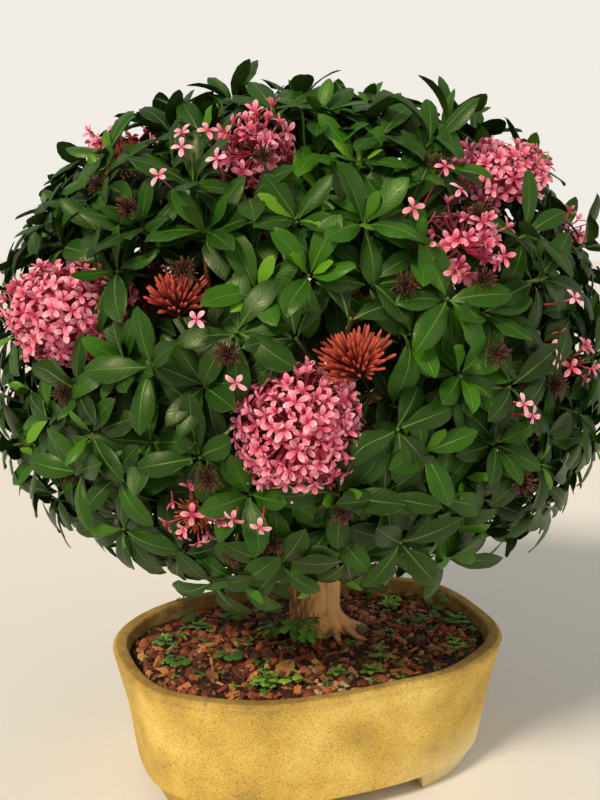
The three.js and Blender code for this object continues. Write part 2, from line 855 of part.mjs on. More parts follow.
// A bud: a slender club that swells a little before its point.
function growBud(body, ring, head, out) {
  const length = BUD.length * head.draw(0.85, 1.05);
  const swell = head.centre.clone().addScaledVector(out, head.core + length * BUD.belly);
  const belly = body.add(ringPoints(swell, out, BUD.girth, 3, head.draw(0, 2)));
  const [tip] = body.add([head.centre.clone().addScaledVector(out, head.core + length)]);
  body.band(ring, belly);
  body.fan(belly, tip);
}

// A dry stalk, left standing where a flower fell.
function growStalk(body, ring, head, out) {
  const reach = head.radius * head.draw(0.75, 1);
  const [tip] = body.add([head.centre.clone().addScaledVector(out, reach)]);
  body.fan(ring, tip);
}

// ---------------------------------------------------------------- the wood

// A fork in the wood: a small core with one face open to the branch that bears it, and others to those that
// it bears. A branch that finds no face looking its way starts as a body of its own in the middle of the core.
function growFork(bodies, body, arriving, from, fork) {
  const { centre, radius, runs } = fork;
  const faces = coreFaces(centre, UP, radius, Math.ceil(runs.length * 0.6) + 5);
  const index = cornerIndex(body);
  const facing = (face, point) => {
    const way = vec().subVectors(point, centre).normalize();
    return middle(face).sub(centre).normalize().dot(way);
  };
  const back = faces.reduce((a, b) => (facing(a, from) > facing(b, from) ? a : b));
  const taken = new Map([[back, null]]);
  const placed = new Set();
  runs
    .flatMap((run) => faces.map((face) => ({ run, face, match: facing(face, run.points[0]) })))
    .filter(({ match }) => match > 0.8)
    .sort((a, b) => b.match - a.match)
    .forEach(({ run, face }) => {
      if (placed.has(run) || taken.has(face)) return;
      taken.set(face, run);
      placed.add(run);
    });
  uncross(taken, facing);
  faces.forEach((face) => {
    const ring = face.map(index);
    if (face === back) body.band(arriving, ring.reverse());
    else if (taken.has(face)) growRun(bodies, body, ring, centre, taken.get(face));
    else body.cap(ring);
  });
  runs
    .filter((run) => !placed.has(run))
    .forEach((run) => {
      const apart = new Body();
      const way = vec().subVectors(run.points[0], centre).normalize();
      const start = apart.add(ringPoints(centre, way, run.radii[0], run.sides));
      apart.capStart(start);
      bodies.push(apart);
      growRun(bodies, apart, start, centre, run);
    });
}

// Swaps the faces of two branches where each looks more the other's way.
function uncross(taken, facing) {
  const used = [...taken.keys()].filter((face) => taken.get(face));
  used.forEach((one, i) => {
    used.slice(i + 1).forEach((other) => {
      const [a, b] = [taken.get(one), taken.get(other)];
      const kept = facing(one, a.points[0]) + facing(other, b.points[0]);
      const swapped = facing(one, b.points[0]) + facing(other, a.points[0]);
      if (swapped > kept) taken.set(one, b).set(other, a);
    });
  });
}

// A branch from a ring through its points, ending in a fork or in a flat end.
function growRun(bodies, body, start, from, run) {
  let before = from;
  let ring = start;
  run.points.forEach((p, i) => {
    const way = run.axis ?? vec().subVectors(p, before).normalize();
    const next = body.add(ringPoints(p, way, run.radii[i], run.sides));
    body.band(ring, next);
    ring = next;
    before = p;
  });
  if (run.fork) growFork(bodies, body, ring, before, run.fork);
  else body.cap(ring);
}

// Three rounds of forking carry the trunk out to the foot of every shoot and head.
function woodSolid(feet) {
  const top = vec(TRUNK.fork.x, TRUNK.fork.y, TRUNK.fork.z);
  const places = ({ count, reach, rise }) =>
    crownPlaces(count).map((p) => HEART.clone().lerp(p, reach).add(vec(0, 0, rise)));
  const nearest = (list, p) => list.reduce((a, b) => (a.distanceTo(p) < b.distanceTo(p) ? a : b));
  const before = (from, knot, radius) =>
    knot.clone().addScaledVector(vec().subVectors(from, knot).normalize(), radius * COLLAR);
  const ends = feet.map(({ foot, axis }) => ({ end: foot.clone().addScaledVector(axis, -GAP), axis }));
  const limbs = places(LIMBS);
  const allBoughs = places(BOUGHS);
  const boughs = allBoughs.filter((place) => ends.some(({ end }) => nearest(allBoughs, end) === place));
  const twigRun = ({ end, axis }) => ({ points: [end], radii: [TWIGS.radius], sides: TWIGS.sides, axis });
  const boughRun = (limb, bough) => ({
    ...BOUGHS,
    points: [before(limb, bough, BOUGHS.knot)],
    fork: {
      centre: bough,
      radius: BOUGHS.knot,
      runs: ends.filter(({ end }) => nearest(boughs, end) === bough).map(twigRun),
    },
  });
  const limbRun = (limb) => ({
    ...LIMBS,
    points: [top.clone().lerp(limb, 0.5), before(top, limb, LIMBS.knot)],
    fork: {
      centre: limb,
      radius: LIMBS.knot,
      runs: boughs.filter((bough) => nearest(limbs, bough) === limb).map((bough) => boughRun(limb, bough)),
    },
  });
  const trunk = new Body();
  const bodies = [trunk];
  const { stump, bend } = TRUNK;
  const root = vec(TRUNK.x, TRUNK.y, GROUND);
  const rings = [
    stumpOutline(0, GROUND - stump.depth),
    stumpOutline(0, GROUND + stump.shoulder),
    stumpOutline(-stump.inset, GROUND + stump.neck),
  ].map((outline) => trunk.add(outline));
  trunk.capStart(rings[0]);
  trunk.weave(rings[0], rings[1]);
  trunk.weave(rings[1], rings[2]);
  growRun(bodies, trunk, rings[2], root, {
    points: [vec(bend.x, TRUNK.y, GROUND + bend.rise), before(root, top, TRUNK.girth)],
    radii: [TRUNK.girth, TRUNK.girth - 1],
    sides: TRUNK.sides,
    fork: { centre: top, radius: TRUNK.girth, runs: limbs.map(limbRun) },
  });
  const leftLimb = limbs.reduce((a, b) => (a.x < b.x ? a : b));
  bodies.push(secondStem(leftLimb));
  return bodies.map(solidOf).reduce((sum, body) => sum.add(body));
}

// A thinner stem from the stump's left side up into the limb on that side.
function secondStem(limb) {
  const { girth, sides, foot, knee, hip } = TRUNK.second;
  const points = [
    vec(foot.x, foot.y, GROUND + TRUNK.stump.shoulder),
    vec(knee.x, knee.y, GROUND + TRUNK.bend.rise),
    vec(hip.x, hip.y, GROUND + 3 * TRUNK.bend.rise),
    limb,
  ];
  return tube(points, [girth + 1, girth, girth - 1, girth - 2], sides);
}

// ---------------------------------------------------------------- putting the plant together

function material(colour, roughness) {
  return new THREE.MeshStandardMaterial({ color: colour, roughness, metalness: 0 });
}

function meshOf(name, geometry, colour, roughness) {
  const mesh = new THREE.Mesh(geometry, material(colour, roughness));
  mesh.name = name;
  return mesh;
}

// Where a head sits on the crown, which way it faces, and where its stem meets the wood.
function placeHead(head, seat) {
  const onCrown = crownPoint(rad(head.azimuth), head.z);
  const normal = crownNormal(onCrown);
  const centre = onCrown.clone().addScaledVector(normal, -seat * head.radius);
  const inward = vec().subVectors(centre, HEART).normalize().add(normal).normalize();
  const foot = centre.clone().addScaledVector(inward, -(head.radius * HEAD_STEM.core + HEAD_STEM.length));
  const [side, rise] = across(normal);
  const [sideways, upwards] = head.lean ?? [0, 0];
  const axis = inward.addScaledVector(side, sideways).addScaledVector(rise, upwards).normalize();
  return { centre, axis, foot };
}

function growHeads() {
  const draw = seededDraws(SEED + 2);
  const heads = (kind, list, build) =>
    list.map((h) => {
      const { seat, core, ...rest } = HEAD_KINDS[kind];
      return { ...h, ...placeHead(h, seat), draw, kind, core: h.radius * core, ...rest, ...build(h) };
    });
  const looseKnob = (h) => ({ corePoints: Math.ceil(h.florets / 1.5) + 3, sprouts: h.florets });
  const budKnob = (h) => ({ core: h.radius - BUD.length, corePoints: h.buds + 2, sprouts: h.buds });
  return [
    ...heads("full", FULL_HEADS, () => ({})),
    ...heads("loose", LOOSE_HEADS, looseKnob),
    ...heads("buds", BUD_HEADS, budKnob),
    ...heads("spent", SPENT_HEADS, () => ({})),
  ];
}

// Places for the sprays: each next one as far as it can be from the heads and from the sprays before it.
function sprayPlaces(heads) {
  const candidates = crownPlaces(600);
  const places = FRONT_SPRAYS.map(({ azimuth, z }) => crownPoint(rad(azimuth), z));
  const room = (p) =>
    Math.min(
      ...heads.map((h) => h.centre.distanceTo(p) - h.radius + SHOOT.headRoom),
      ...places.map((q) => q.distanceTo(p)),
    );
  while (places.length < SHOOT.sprays) places.push(candidates.reduce((a, b) => (room(a) >= room(b) ? a : b)));
  return places;
}

// Leafy sprays fill the crown evenly between the heads.
function growSprays(heads, obstacles) {
  const draw = seededDraws(SEED + 3);
  const hubs = [];
  const sprays = sprayPlaces(heads).map((place) => {
    const normal = crownNormal(place);
    const fork = place.clone().addScaledVector(normal, -SHOOT.forkDepth);
    const axis = vec().subVectors(fork, HEART).normalize();
    const foot = fork.clone().addScaledVector(axis, -SHOOT.stem);
    const hubsAt = (turn) =>
      [0, 1, 2].map((i) => {
        const [u, v] = across(axis);
        const angle = turn + (2 * Math.PI * (i + 0.5)) / 3;
        const aim = place
          .clone()
          .addScaledVector(u, SHOOT.spread * Math.cos(angle))
          .addScaledVector(v, SHOOT.spread * Math.sin(angle));
        return settleHub(aim);
      });
    const score = (list) =>
      Math.min(
        ...list.flatMap((hub) => [
          ...[...hubs, ...list].filter((h) => h !== hub).map((h) => h.centre.distanceTo(hub.centre)),
          ...heads.map((h) => h.centre.distanceTo(hub.centre) - h.radius + 22),
        ]),
      );
    const turns = Array.from({ length: 12 }, (_, k) => (Math.PI * 2 * k) / 36);
    const best = turns.reduce((a, b) => (score(hubsAt(a)) >= score(hubsAt(b)) ? a : b));
    const own = hubsAt(best);
    hubs.push(...own);
    return { foot, fork, axis, turn: best, hubs: own };
  });
  sprays.forEach((spray, n) => {
    spray.hubs.forEach((hub) => {
      hub.owner = n;
      hub.turn = draw(0, Math.PI);
      const end = hub.centre.clone().addScaledVector(vec().subVectors(spray.fork, hub.centre).normalize(), 8);
      obstacles.push(rodObstacle(n, spray.fork, end, 2));
    });
    obstacles.push(rodObstacle(n, spray.foot, spray.fork, 2.6));
  });
  sprays.forEach((spray) => {
    spray.hubs.forEach((hub) => {
      hub.leaves = hub.leaves.map((_, i) => {
        const size = draw(0.88, 1.08);
        const shape = {
          ...LEAF,
          length: LEAF.length * size,
          width: LEAF.width * size,
          tilt: LEAF.tilt + draw(-7, 9),
          droop: LEAF.droop + draw(-10, 14),
        };
        return settleLeaf(hub, i, shape, obstacles);
      });
    });
  });
  return sprays;
}

// A rosette's hub lies under the crown's surface, and its stem turns up towards the light.
function settleHub(aim) {
  const azimuth = Math.atan2((aim.x - CROWN.x) / CROWN.halfWidth, (CROWN.y - aim.y) / CROWN.halfDepth);
  const below = crownPoint(azimuth, Math.max(aim.z, CROWN.lowest));
  const surface = aim.z > CROWN.z ? ontoCrown(aim) : below;
  const normal = crownNormal(surface);
  return {
    centre: surface.addScaledVector(normal, -SHOOT.hubDepth),
    up: normal.clone().multiplyScalar(0.8).addScaledVector(UP, 0.3).normalize(),
    radius: SHOOT.hub,
    leaves: Array(LEAF.perRosette).fill(null),
  };
}

function weedBody(weed) {
  const ground = soilHeight(weed.x, weed.y);
  const body = new Body();
  const hub = {
    centre: vec(weed.x, weed.y, ground + weed.height),
    up: UP,
    radius: WEED.hub,
    turn: 0.7,
    leaves: Array(weed.leaves).fill(null),
  };
  const { tilt, droop, rib } = WEED;
  const shape = { ...LEAF, length: weed.leaf, width: weed.leaf * WEED.broad, tilt, droop, rib };
  hub.leaves = hub.leaves.map((_, i) => ({ ...leafPlace(hub, i), up: UP, shape }));
  const foot = body.add(ringPoints(vec(weed.x, weed.y, ground - WEED.root), UP, WEED.stem, 3));
  body.capStart(foot);
  body.band(foot, growRosette(body, hub));
  return body;
}

function growPlant() {
  const plant = new THREE.Group();
  const heads = growHeads();
  const obstacles = heads.flatMap((h) => [
    ballObstacle(h.name, h.centre, h.radius + 1),
    rodObstacle(h.name, h.foot, h.centre, 2.6),
  ]);
  const sprays = growSprays(heads, obstacles);
  const feet = [
    ...sprays.map(({ foot, axis }) => ({ foot, axis })),
    ...heads.map((h) => ({ foot: h.foot, axis: vec().subVectors(h.centre, h.foot).normalize() })),
  ];
  plant.add(meshOf("pot", geometryOf(potSolid()), COLOURS.pot, 0.8));
  plant.add(meshOf("soil", geometryOf(soilSolid()), COLOURS.soil, 0.95));
  plant.add(meshOf("trunk_and_branches", geometryOf(woodSolid(feet)), COLOURS.wood, 0.85));
  sprays.forEach((spray, i) => {
    const name = "leafy_spray_" + String(i + 1).padStart(2, "0");
    plant.add(meshOf(name, sprayBody(spray).geometry(), COLOURS.leaf, 0.4));
  });
  const kinds = {
    full: { grow: growFloret, prefix: "flower_head_", colour: COLOURS.petal },
    loose: { grow: growFloret, prefix: "flower_head_", colour: COLOURS.petal },
    buds: { grow: growBud, prefix: "bud_head_", colour: COLOURS.bud },
    spent: { grow: growStalk, prefix: "spent_head_", colour: COLOURS.spent },
  };
  heads.forEach((head) => {
    const { grow, prefix, colour } = kinds[head.kind];
    plant.add(meshOf(prefix + head.name, headBody(head, grow).geometry(), colour, 0.6));
  });
  WEEDS.forEach((weed) => {
    plant.add(meshOf("weed_" + weed.name, weedBody(weed).geometry(), COLOURS.weed, 0.6));
  });
  const box = new THREE.Box3().setFromObject(plant);
  const middleOf = box.getCenter(vec());
  plant.position.set(-middleOf.x, -middleOf.y, -box.min.z);
  return plant;
}

const ixora = new THREE.Group();
ixora.add(growPlant());

export default ixora;
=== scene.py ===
"""An ixora grown as a small round-headed tree in its bonsai pot. Metres, +Z up."""

import math
import random

import bmesh
import bpy
import numpy as np
from bpy.props import FloatProperty, FloatVectorProperty, IntProperty, PointerProperty
from bpy.types import Operator, Panel, PropertyGroup
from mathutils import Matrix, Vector
from mathutils.bvhtree import BVHTree
from mathutils.noise import noise as noise_at


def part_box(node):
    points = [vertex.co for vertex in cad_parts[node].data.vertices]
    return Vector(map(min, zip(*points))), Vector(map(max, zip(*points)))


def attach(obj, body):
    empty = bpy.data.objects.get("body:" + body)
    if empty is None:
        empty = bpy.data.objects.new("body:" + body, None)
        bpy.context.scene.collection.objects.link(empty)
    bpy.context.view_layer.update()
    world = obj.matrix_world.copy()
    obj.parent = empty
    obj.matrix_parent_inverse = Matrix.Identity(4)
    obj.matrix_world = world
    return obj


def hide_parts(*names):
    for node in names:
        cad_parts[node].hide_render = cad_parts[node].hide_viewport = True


bl_info = {
    "name": "Potted Ixora",
    "version": (1, 0, 0),
    "blender": (4, 5, 0),
    "location": "3D View > Sidebar > Ixora",
    "description": "Models a pink ixora tree and its clay bonsai pot over their packed frame",
    "category": "Object",
}

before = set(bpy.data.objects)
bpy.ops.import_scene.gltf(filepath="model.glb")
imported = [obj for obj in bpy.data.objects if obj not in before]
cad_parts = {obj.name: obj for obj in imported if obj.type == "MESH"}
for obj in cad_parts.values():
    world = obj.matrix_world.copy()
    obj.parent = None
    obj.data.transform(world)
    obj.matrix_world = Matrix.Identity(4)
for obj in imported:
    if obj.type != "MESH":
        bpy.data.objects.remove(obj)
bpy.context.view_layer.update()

MM = 0.001
UP = np.array((0.0, 0.0, 1.0))
GOLDEN_ANGLE = math.pi * (3 - math.sqrt(5))
# The range of an angle that is drawn at random.
TURN = 6.3

# The seed of each job's draws, so that the plant comes out the same every time.
SEEDS = {
    "soil": 7, "sprays": 11, "filling": 23, "flowers": 31, "singles": 33, "buds": 37, "spent": 41, "weeds": 53
}

# The pot's height to its rim, the soil's height at the wall, and where the trunk stands.
POT_HEIGHT = 101 * MM
SOIL_TOP = POT_HEIGHT - 9 * MM
POT_MIDDLE = np.array((*((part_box("pot")[0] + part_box("pot")[1]) / 2).xy, 0.0))
TRUNK_FOOT = POT_MIDDLE + np.array((11.0, 14.0, 0.0)) * MM

# Doubles in the frame's loose triangles lie closer than this.
WELD = 0.01 * MM

# How far along a leaf, or a stem, the four points lie that its curve runs through.
LEAF_STATIONS = (0.0, 0.44, 0.75, 1.0)
STEM_STATIONS = (0.0, 1 / 3, 2 / 3, 1.0)


# ------------------------------------------------------------------ settings


def linear(code):
    """An sRGB hex colour as linear red, green, blue and alpha."""
    parts = [int(code[i : i + 2], 16) / 255 for i in (1, 3, 5)]
    return (*(c / 12.92 if c <= 0.04045 else ((c + 0.055) / 1.055) ** 2.4 for c in parts), 1.0)


def length(name, description, millimetres):
    size = millimetres * MM
    return FloatProperty(name=name, description=description, default=size, unit="LENGTH", precision=4)


def angle(name, description, degrees):
    return FloatProperty(name=name, description=description, default=math.radians(degrees), subtype="ANGLE")


def share(name, description, value):
    limits = {"min": 0.0, "max": 10.0}
    return FloatProperty(name=name, description=description, default=value, subtype="FACTOR", **limits)


def count(name, description, number):
    return IntProperty(name=name, description=description, default=number, min=0)


def tint(name, description, code):
    colour = linear(code)
    return FloatVectorProperty(name=name, description=description, default=colour, size=4, subtype="COLOR")


class IXORA_PG_pot(PropertyGroup):
    length: length("Length", "Length of the pot over its lip", 300)
    width: length("Width", "Width of the pot over its lip", 219)
    squareness: share("Squareness", "Power of the outline's curve, 2 for an ellipse", 2.54)
    turn: angle("Turn", "How far the pot is turned on its stand", 20)
    wall: length("Wall", "Thickness of the wall", 9)
    lip: length("Lip", "How far the rim flares out from the line of the wall", 3)
    lip_depth: length("Lip depth", "How far below the rim the wall begins to flare", 40)
    taper: share("Taper", "How much the wall leans in for each unit of depth", 0.145)
    foot_height: length("Foot height", "Clearance under the pot", 10)
    foot_length: length("Foot length", "Length of each corner foot", 84)
    foot_width: length("Foot width", "Width of each corner foot", 68)
    floor: length("Floor", "Thickness of the floor", 12)
    drain_radius: length("Drain radius", "Radius of each drainage hole", 9)
    drain_offset: length("Drain offset", "Distance of the drainage holes from the middle", 70)
    wobble: length("Wobble", "How far the hand-pressed rim strays from its outline", 1.9)
    # The clay and clay shade tints differ partly by the clay's own firing and partly as painted light and
    # painted shade.
    clay: tint("Clay", "Fired clay in the light", "#D8B352")
    shade: tint("Clay shade", "Clay where it fired darker", "#AE9046")
    speck: tint("Specks", "Iron specks in the clay", "#5E4520")
    stain: tint("Stain", "Damp and algae on the rim and inside", "#7C5729")


class IXORA_PG_soil(PropertyGroup):
    chips: count("Bark chips", "How many bark chips lie on the soil", 900)
    crumbs: count("Crumbs", "How many small crumbs lie between the chips", 1700)
    pebbles: count("Pebbles", "How many pebbles lie together near the front", 34)
    lumps: count("Bark lumps", "How many thick lumps of bark lie among the chips", 190)
    straws: count("Straws", "How many dry straws and root ends lie about", 110)
    chip_size: length("Chip size", "Mean length of a bark chip", 7.2)
    dark: tint("Soil", "Damp potting soil", "#2E1C11")
    chip: tint("Chip", "Bark chip", "#984E32")
    bright_chip: tint("Bright chip", "Freshly broken bark chip", "#B8703F")
    pebble: tint("Pebble", "Pale grit", "#A89A84")


class IXORA_PG_wood(PropertyGroup):
    furrow: length("Furrow", "Depth of the bark's furrows", 1.6)
    fibre: length("Fibre", "Width of the bark's fibres", 2.4)
    bark: tint("Bark", "Bark on its ridges", "#E6AC6C")
    furrow_colour: tint("Furrows", "Bark in its furrows", "#8C5A33")
    green_twig: tint("Green twig", "Young shoot", "#4E6A26")


class IXORA_PG_foliage(PropertyGroup):
    leaf_length: length("Leaf length", "Length of a full-grown leaf", 37)
    leaf_width: length("Leaf width", "Width of a full-grown leaf", 15.5)
    thickness: length("Leaf thickness", "Half the thickness of a leaf", 0.22)
    fold: share("Fold", "How much the halves of a leaf rise from its midrib", 0.35)
    curl: share("Curl", "How much the margins of a leaf turn down again", 0.45)
    spacing: length("Spacing", "Least distance between two rosettes", 27)
    inner_spacing: length("Inner spacing", "Least distance between two rosettes inside the crown", 44)
    depth: length("Depth", "How deep a rosette's hub lies under the crown's surface", 22)
    # The old leaf tint is painted shade: a full-grown leaf in shade, beside the grown leaf in the light.
    old: tint("Old leaf", "Shaded full-grown leaf", "#0E2506")
    grown: tint("Grown leaf", "Full-grown leaf in the light", "#21480A")
    fresh: tint("Fresh leaf", "Leaf that has just reached its full size", "#35690D")
    young: tint("Young leaf", "Leaf of the newest whorl", "#60901A")
    rib: tint("Midrib", "Pale midrib", "#6F8E42")
    underside: tint("Underside", "Dull underside of a leaf", "#3A5A22")


class IXORA_PG_flowers(PropertyGroup):
    petal: length("Petal", "Length of a petal", 7.6)
    petal_width: length("Petal width", "Width of a petal", 3.6)
    spacing: length("Spacing", "Distance between the florets of a full head", 9.0)
    tube: length("Tube", "Thickness of a floret's tube", 0.5)
    pale: tint("Petal tip", "Petal at its tip", "#FDBCCA")
    pink: tint("Petal", "Petal in its middle", "#EC7694")
    throat: tint("Throat", "Petal at its throat", "#B82C50")
    bud_red: tint("Bud", "Slender bud", "#8A3024")
    bud_tip: tint("Bud tip", "Bud where it will open", "#CC5A4A")
    spent: tint("Spent", "Dry flower stalk", "#452820")
    knot_stalks: count("Knot stalks", "How many dry stalks make up a knot", 76)


class IXORA_PG_weeds(PropertyGroup):
    clover: length("Clover", "Length of a clover leaflet", 7)
    sprouts: count("Sprouts", "How many tiny sprouts stand between the chips", 170)
    leaf: tint("Weed leaf", "Tender weed leaf", "#4C8A2E")
    # The pale weed leaf is partly a yellower leaf and partly painted light.
    yellow_and_painted_light_leaf: tint("Pale weed leaf", "Weed leaf in the light", "#93B23C")


class IXORA_PG_stage(PropertyGroup):
    lens: FloatProperty(name="Lens", description="Focal length in millimetres", default=45.0)
    camera: FloatVectorProperty(
        name="Camera",
        description="Where the camera stands, from the middle of the pot's underside",
        default=(-0.0074, -0.732, 0.428),
        subtype="TRANSLATION",
        unit="LENGTH",
    )
    pitch: angle("Pitch", "How far the camera looks down", 11.1)
    floor: tint("Floor", "Pale studio floor", "#E4E2DE")
    light: FloatProperty(name="Key light", description="Strength of the key light", default=2.9)
    sky: FloatProperty(name="Room light", description="Strength of the light from all round", default=0.5)
    backdrop: FloatProperty(name="Backdrop", description="Brightness of the backdrop", default=0.88)


GROUPS = {
    "ixora_pot": IXORA_PG_pot,
    "ixora_soil": IXORA_PG_soil,
    "ixora_wood": IXORA_PG_wood,
    "ixora_foliage": IXORA_PG_foliage,
    "ixora_flowers": IXORA_PG_flowers,
    "ixora_weeds": IXORA_PG_weeds,
    "ixora_stage": IXORA_PG_stage,
}


# ------------------------------------------------------------------ small tools


def unit(v):
    return v / max(np.linalg.norm(v), 1e-12)


def across(axis):
    """Two directions across an axis, right-handed with it."""
    helper = UP if abs(axis[2]) < 0.9 else np.array((1.0, 0.0, 0.0))
    first = unit(np.cross(helper, axis))
    return first, np.cross(axis, first)


def spoke(axis, by):
    """The direction across an axis at an angle round it."""
    first, second = across(axis)
    return first * math.cos(by) + second * math.sin(by)


def scatter(draw, spread):
    return np.array([draw.gauss(0, spread) for _ in range(3)])


def level(by):
    """The level direction at an angle from +X."""
    return np.array((math.cos(by), math.sin(by), 0.0))


def turned(v, axis, by):
    """A vector turned round an axis."""
    return v * math.cos(by) + np.cross(axis, v) * math.sin(by) + axis * (axis @ v) * (1 - math.cos(by))


def read(elements, name, width, kind=float):
    """One property of all the elements of a mesh, as an array."""
    values = np.empty(len(elements) * width, dtype=np.float32 if kind is float else np.int32)
    elements.foreach_get(name, values)
    return values.reshape(-1, width).astype(kind) if width > 1 else values.astype(kind)


def deselect():
    if bpy.context.mode != "OBJECT":
        bpy.ops.object.mode_set(mode="OBJECT")
    bpy.ops.object.select_all(action="DESELECT")


def select(piece):
    """Makes a piece the only one selected, and the active one."""
    deselect()
    piece.select_set(True)
    bpy.context.view_layer.objects.active = piece


def edit_faces(piece, chosen):
    """Opens a piece for editing with some of its faces selected."""
    select(piece)
    bpy.ops.object.mode_set(mode="EDIT")
    mesh = bmesh.from_edit_mesh(piece.data)
    for face in mesh.faces:
        face.select_set(chosen(face))
    bmesh.update_edit_mesh(piece.data)


def mark(mesh, name, values):
    """Gives each point of a mesh a number that its material reads."""
    mesh.attributes.new(name, "FLOAT", "POINT").data.foreach_set("value", values.astype(np.float32))


def primitive(add, name, **sizes):
    """A new primitive, alone in the selection."""
    deselect()
    add(**sizes)
    piece = bpy.context.object
    piece.name = piece.data.name = name
    return piece


def put(name, data):
    """A new object in the scene."""
    piece = bpy.data.objects.new(name, data)
    bpy.context.scene.collection.objects.link(piece)
    return piece


def apply(piece, kind, **settings):
    """Adds a modifier with its settings and applies it."""
    modifier = piece.modifiers.new(kind.title(), kind)
    for name, value in settings.items():
        setattr(modifier, name, value)
    select(piece)
    bpy.ops.object.modifier_apply(modifier=modifier.name)


def finish_piece(piece, slot, *nodes, smooth=40.0, materials=()):
    """Smooths a finished piece between its sharp edges, dresses it and puts it on its body."""
    select(piece)
    bpy.ops.object.shade_smooth_by_angle(angle=math.radians(smooth))
    for material in materials:
        piece.data.materials.append(material)
    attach(piece, "root")
    if nodes:
        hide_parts(*nodes)
    return piece


# ------------------------------------------------------------------ shapes that repeat


class Shape:
    """A small closed form that is modelled once: its points, the corners of its faces and their map."""

    def __init__(self, piece, two_sided=False):
        mesh = piece.data
        self.points = read(mesh.vertices, "co", 3)
        self.corners = read(mesh.loops, "vertex_index", 1, int)
        self.sizes = read(mesh.polygons, "loop_total", 1, int)
        normals = read(mesh.polygons, "normal", 3)
        x, y = self.points[self.corners, 0], self.points[self.corners, 1]
        self.map = np.stack((x, y / 2 + 0.5), axis=1)
        if two_sided:
            under = np.repeat(normals[:, 2] < 0, self.sizes)
            self.map[under, 0] += 1.0
        self.known = {}
        bpy.data.objects.remove(piece)

    def weights(self, stations):
        """For each point, how much each of the curve's points counts, for its place and for its facing."""
        if stations not in self.known:
            at = np.clip(self.points[:, 0], 0.0, 1.0)
            place = np.ones((len(at), len(stations)))
            for j, here in enumerate(stations):
                for k, there in enumerate(stations):
                    if j != k:
                        place[:, j] *= (at - there) / (here - there)
            facing = np.stack([np.interp(at, stations, hat) for hat in np.eye(len(stations))], axis=1)
            self.known[stations] = (place, facing)
        return self.known[stations]


def spindle(name, segments, stations, two_sided=False):
    """A closed form along X whose rings have a place, a half width and, if it differs, a half thickness."""
    piece = primitive(
        bpy.ops.mesh.primitive_uv_sphere_add,
        name,
        segments=segments,
        ring_count=len(stations) - 1,
        radius=1.0,
        rotation=(0.0, math.pi / 2, 0.0),
    )
    bpy.ops.object.transform_apply(location=False, rotation=True, scale=False)
    places = [round(v.co.x, 3) for v in piece.data.vertices]
    bpy.ops.object.mode_set(mode="EDIT")
    bpy.ops.mesh.select_mode(type="VERT")
    for place, (at, wide, *thick) in zip(sorted(set(places)), stations):
        radius = math.sqrt(max(1.0 - place * place, 0.0))
        mesh = bmesh.from_edit_mesh(piece.data)
        mesh.verts.ensure_lookup_table()
        for vert, own in zip(mesh.verts, places):
            vert.select_set(own == place)
        mesh.select_flush(True)
        bmesh.update_edit_mesh(piece.data)
        if radius > 0.01:
            factors = (1.0, wide / radius, (thick or [wide])[0] / radius)
            bpy.ops.transform.resize(value=factors, center_override=(place, 0, 0))
        bpy.ops.transform.translate(value=(at - place, 0.0, 0.0))
    bpy.ops.object.mode_set(mode="OBJECT")
    return Shape(piece, two_sided)


class Heap:
    """Copies of small shapes, on their way into one mesh."""

    def __init__(self):
        self.copies = []

    def add(self, shape, points, material=0, draw=0.5, tone=0.0):
        self.copies.append((shape, points, material, draw, tone))

    def add_stem(self, shape, spine, thick, end=None, material=0, draw=0.5, tone=0.0):
        self.add(shape, stem(shape, spine, thick, end), material, draw, tone)

    def add_blade(self, shape, leaf, thick, fold, *bends, draw=0.5, tone=0.0):
        self.add(shape, blade(shape, leaf, thick, fold, *bends), 0, draw, tone)

    def piece(self, name):
        """One mesh of all the copies, with the map, the draw and the tone that their materials read."""
        shapes, places, kinds, *marks = zip(*self.copies)
        points, counts = np.concatenate(places), [len(place) for place in places]
        starts = np.cumsum([0] + counts[:-1])
        corners = np.concatenate([shape.corners + start for shape, start in zip(shapes, starts)])
        sizes = np.concatenate([shape.sizes for shape in shapes])
        mesh = bpy.data.meshes.new(name)
        mesh.vertices.add(len(points))
        mesh.vertices.foreach_set("co", points.astype(np.float32).ravel())
        mesh.loops.add(len(corners))
        mesh.loops.foreach_set("vertex_index", corners.astype(np.int32))
        mesh.polygons.add(len(sizes))
        mesh.polygons.foreach_set("loop_start", np.concatenate(([0], np.cumsum(sizes)[:-1])).astype(np.int32))
        kinds = np.repeat(kinds, [len(shape.sizes) for shape in shapes])
        mesh.polygons.foreach_set("material_index", kinds.astype(np.int32))
        mesh.update(calc_edges=True)
        laid_out = np.concatenate([shape.map for shape in shapes]).astype(np.float32)
        mesh.uv_layers.new(name="along").data.foreach_set("uv", laid_out.ravel())
        for label, values in zip(("draw", "tone"), marks):
            mark(mesh, label, np.repeat(values, counts))
        return put(name, mesh)


def blade(shape, leaf, thick, fold, curl=0.0, ripple=0.0, phase=0.0):
    """A flat shape's points, laid along a leaf's curve, which faces a way at each of its four points."""
    spine, facing, half = leaf["spine"], leaf["facing"], leaf["half"]
    place, hats = shape.weights(LEAF_STATIONS)
    x, y, z = shape.points.T
    centre = place @ spine
    face = hats @ facing
    face /= np.linalg.norm(face, axis=1)[:, None]
    side = unit(np.cross(facing[1], spine[2] - spine[0]))
    wave = ripple * np.sin(x * 17.0 + phase) * np.abs(y) * np.sin(np.clip(x, 0, 1) * math.pi)
    lift = z * thick + (fold * np.abs(y) - curl * y * y) * half + wave
    return centre + side * (y * half)[:, None] + face * lift[:, None]


def stem(shape, spine, thick, end=None):
    """A round shape's points, laid along a curve through four points."""
    place, _ = shape.weights(STEM_STATIONS)
    first, second = across(unit(spine[3] - spine[0]))
    radius = thick + (((end or thick) - thick) * shape.points[:, 0])
    ring = first * shape.points[:, 1:2] + second * shape.points[:, 2:3]
    return place @ spine + ring * radius[:, None]


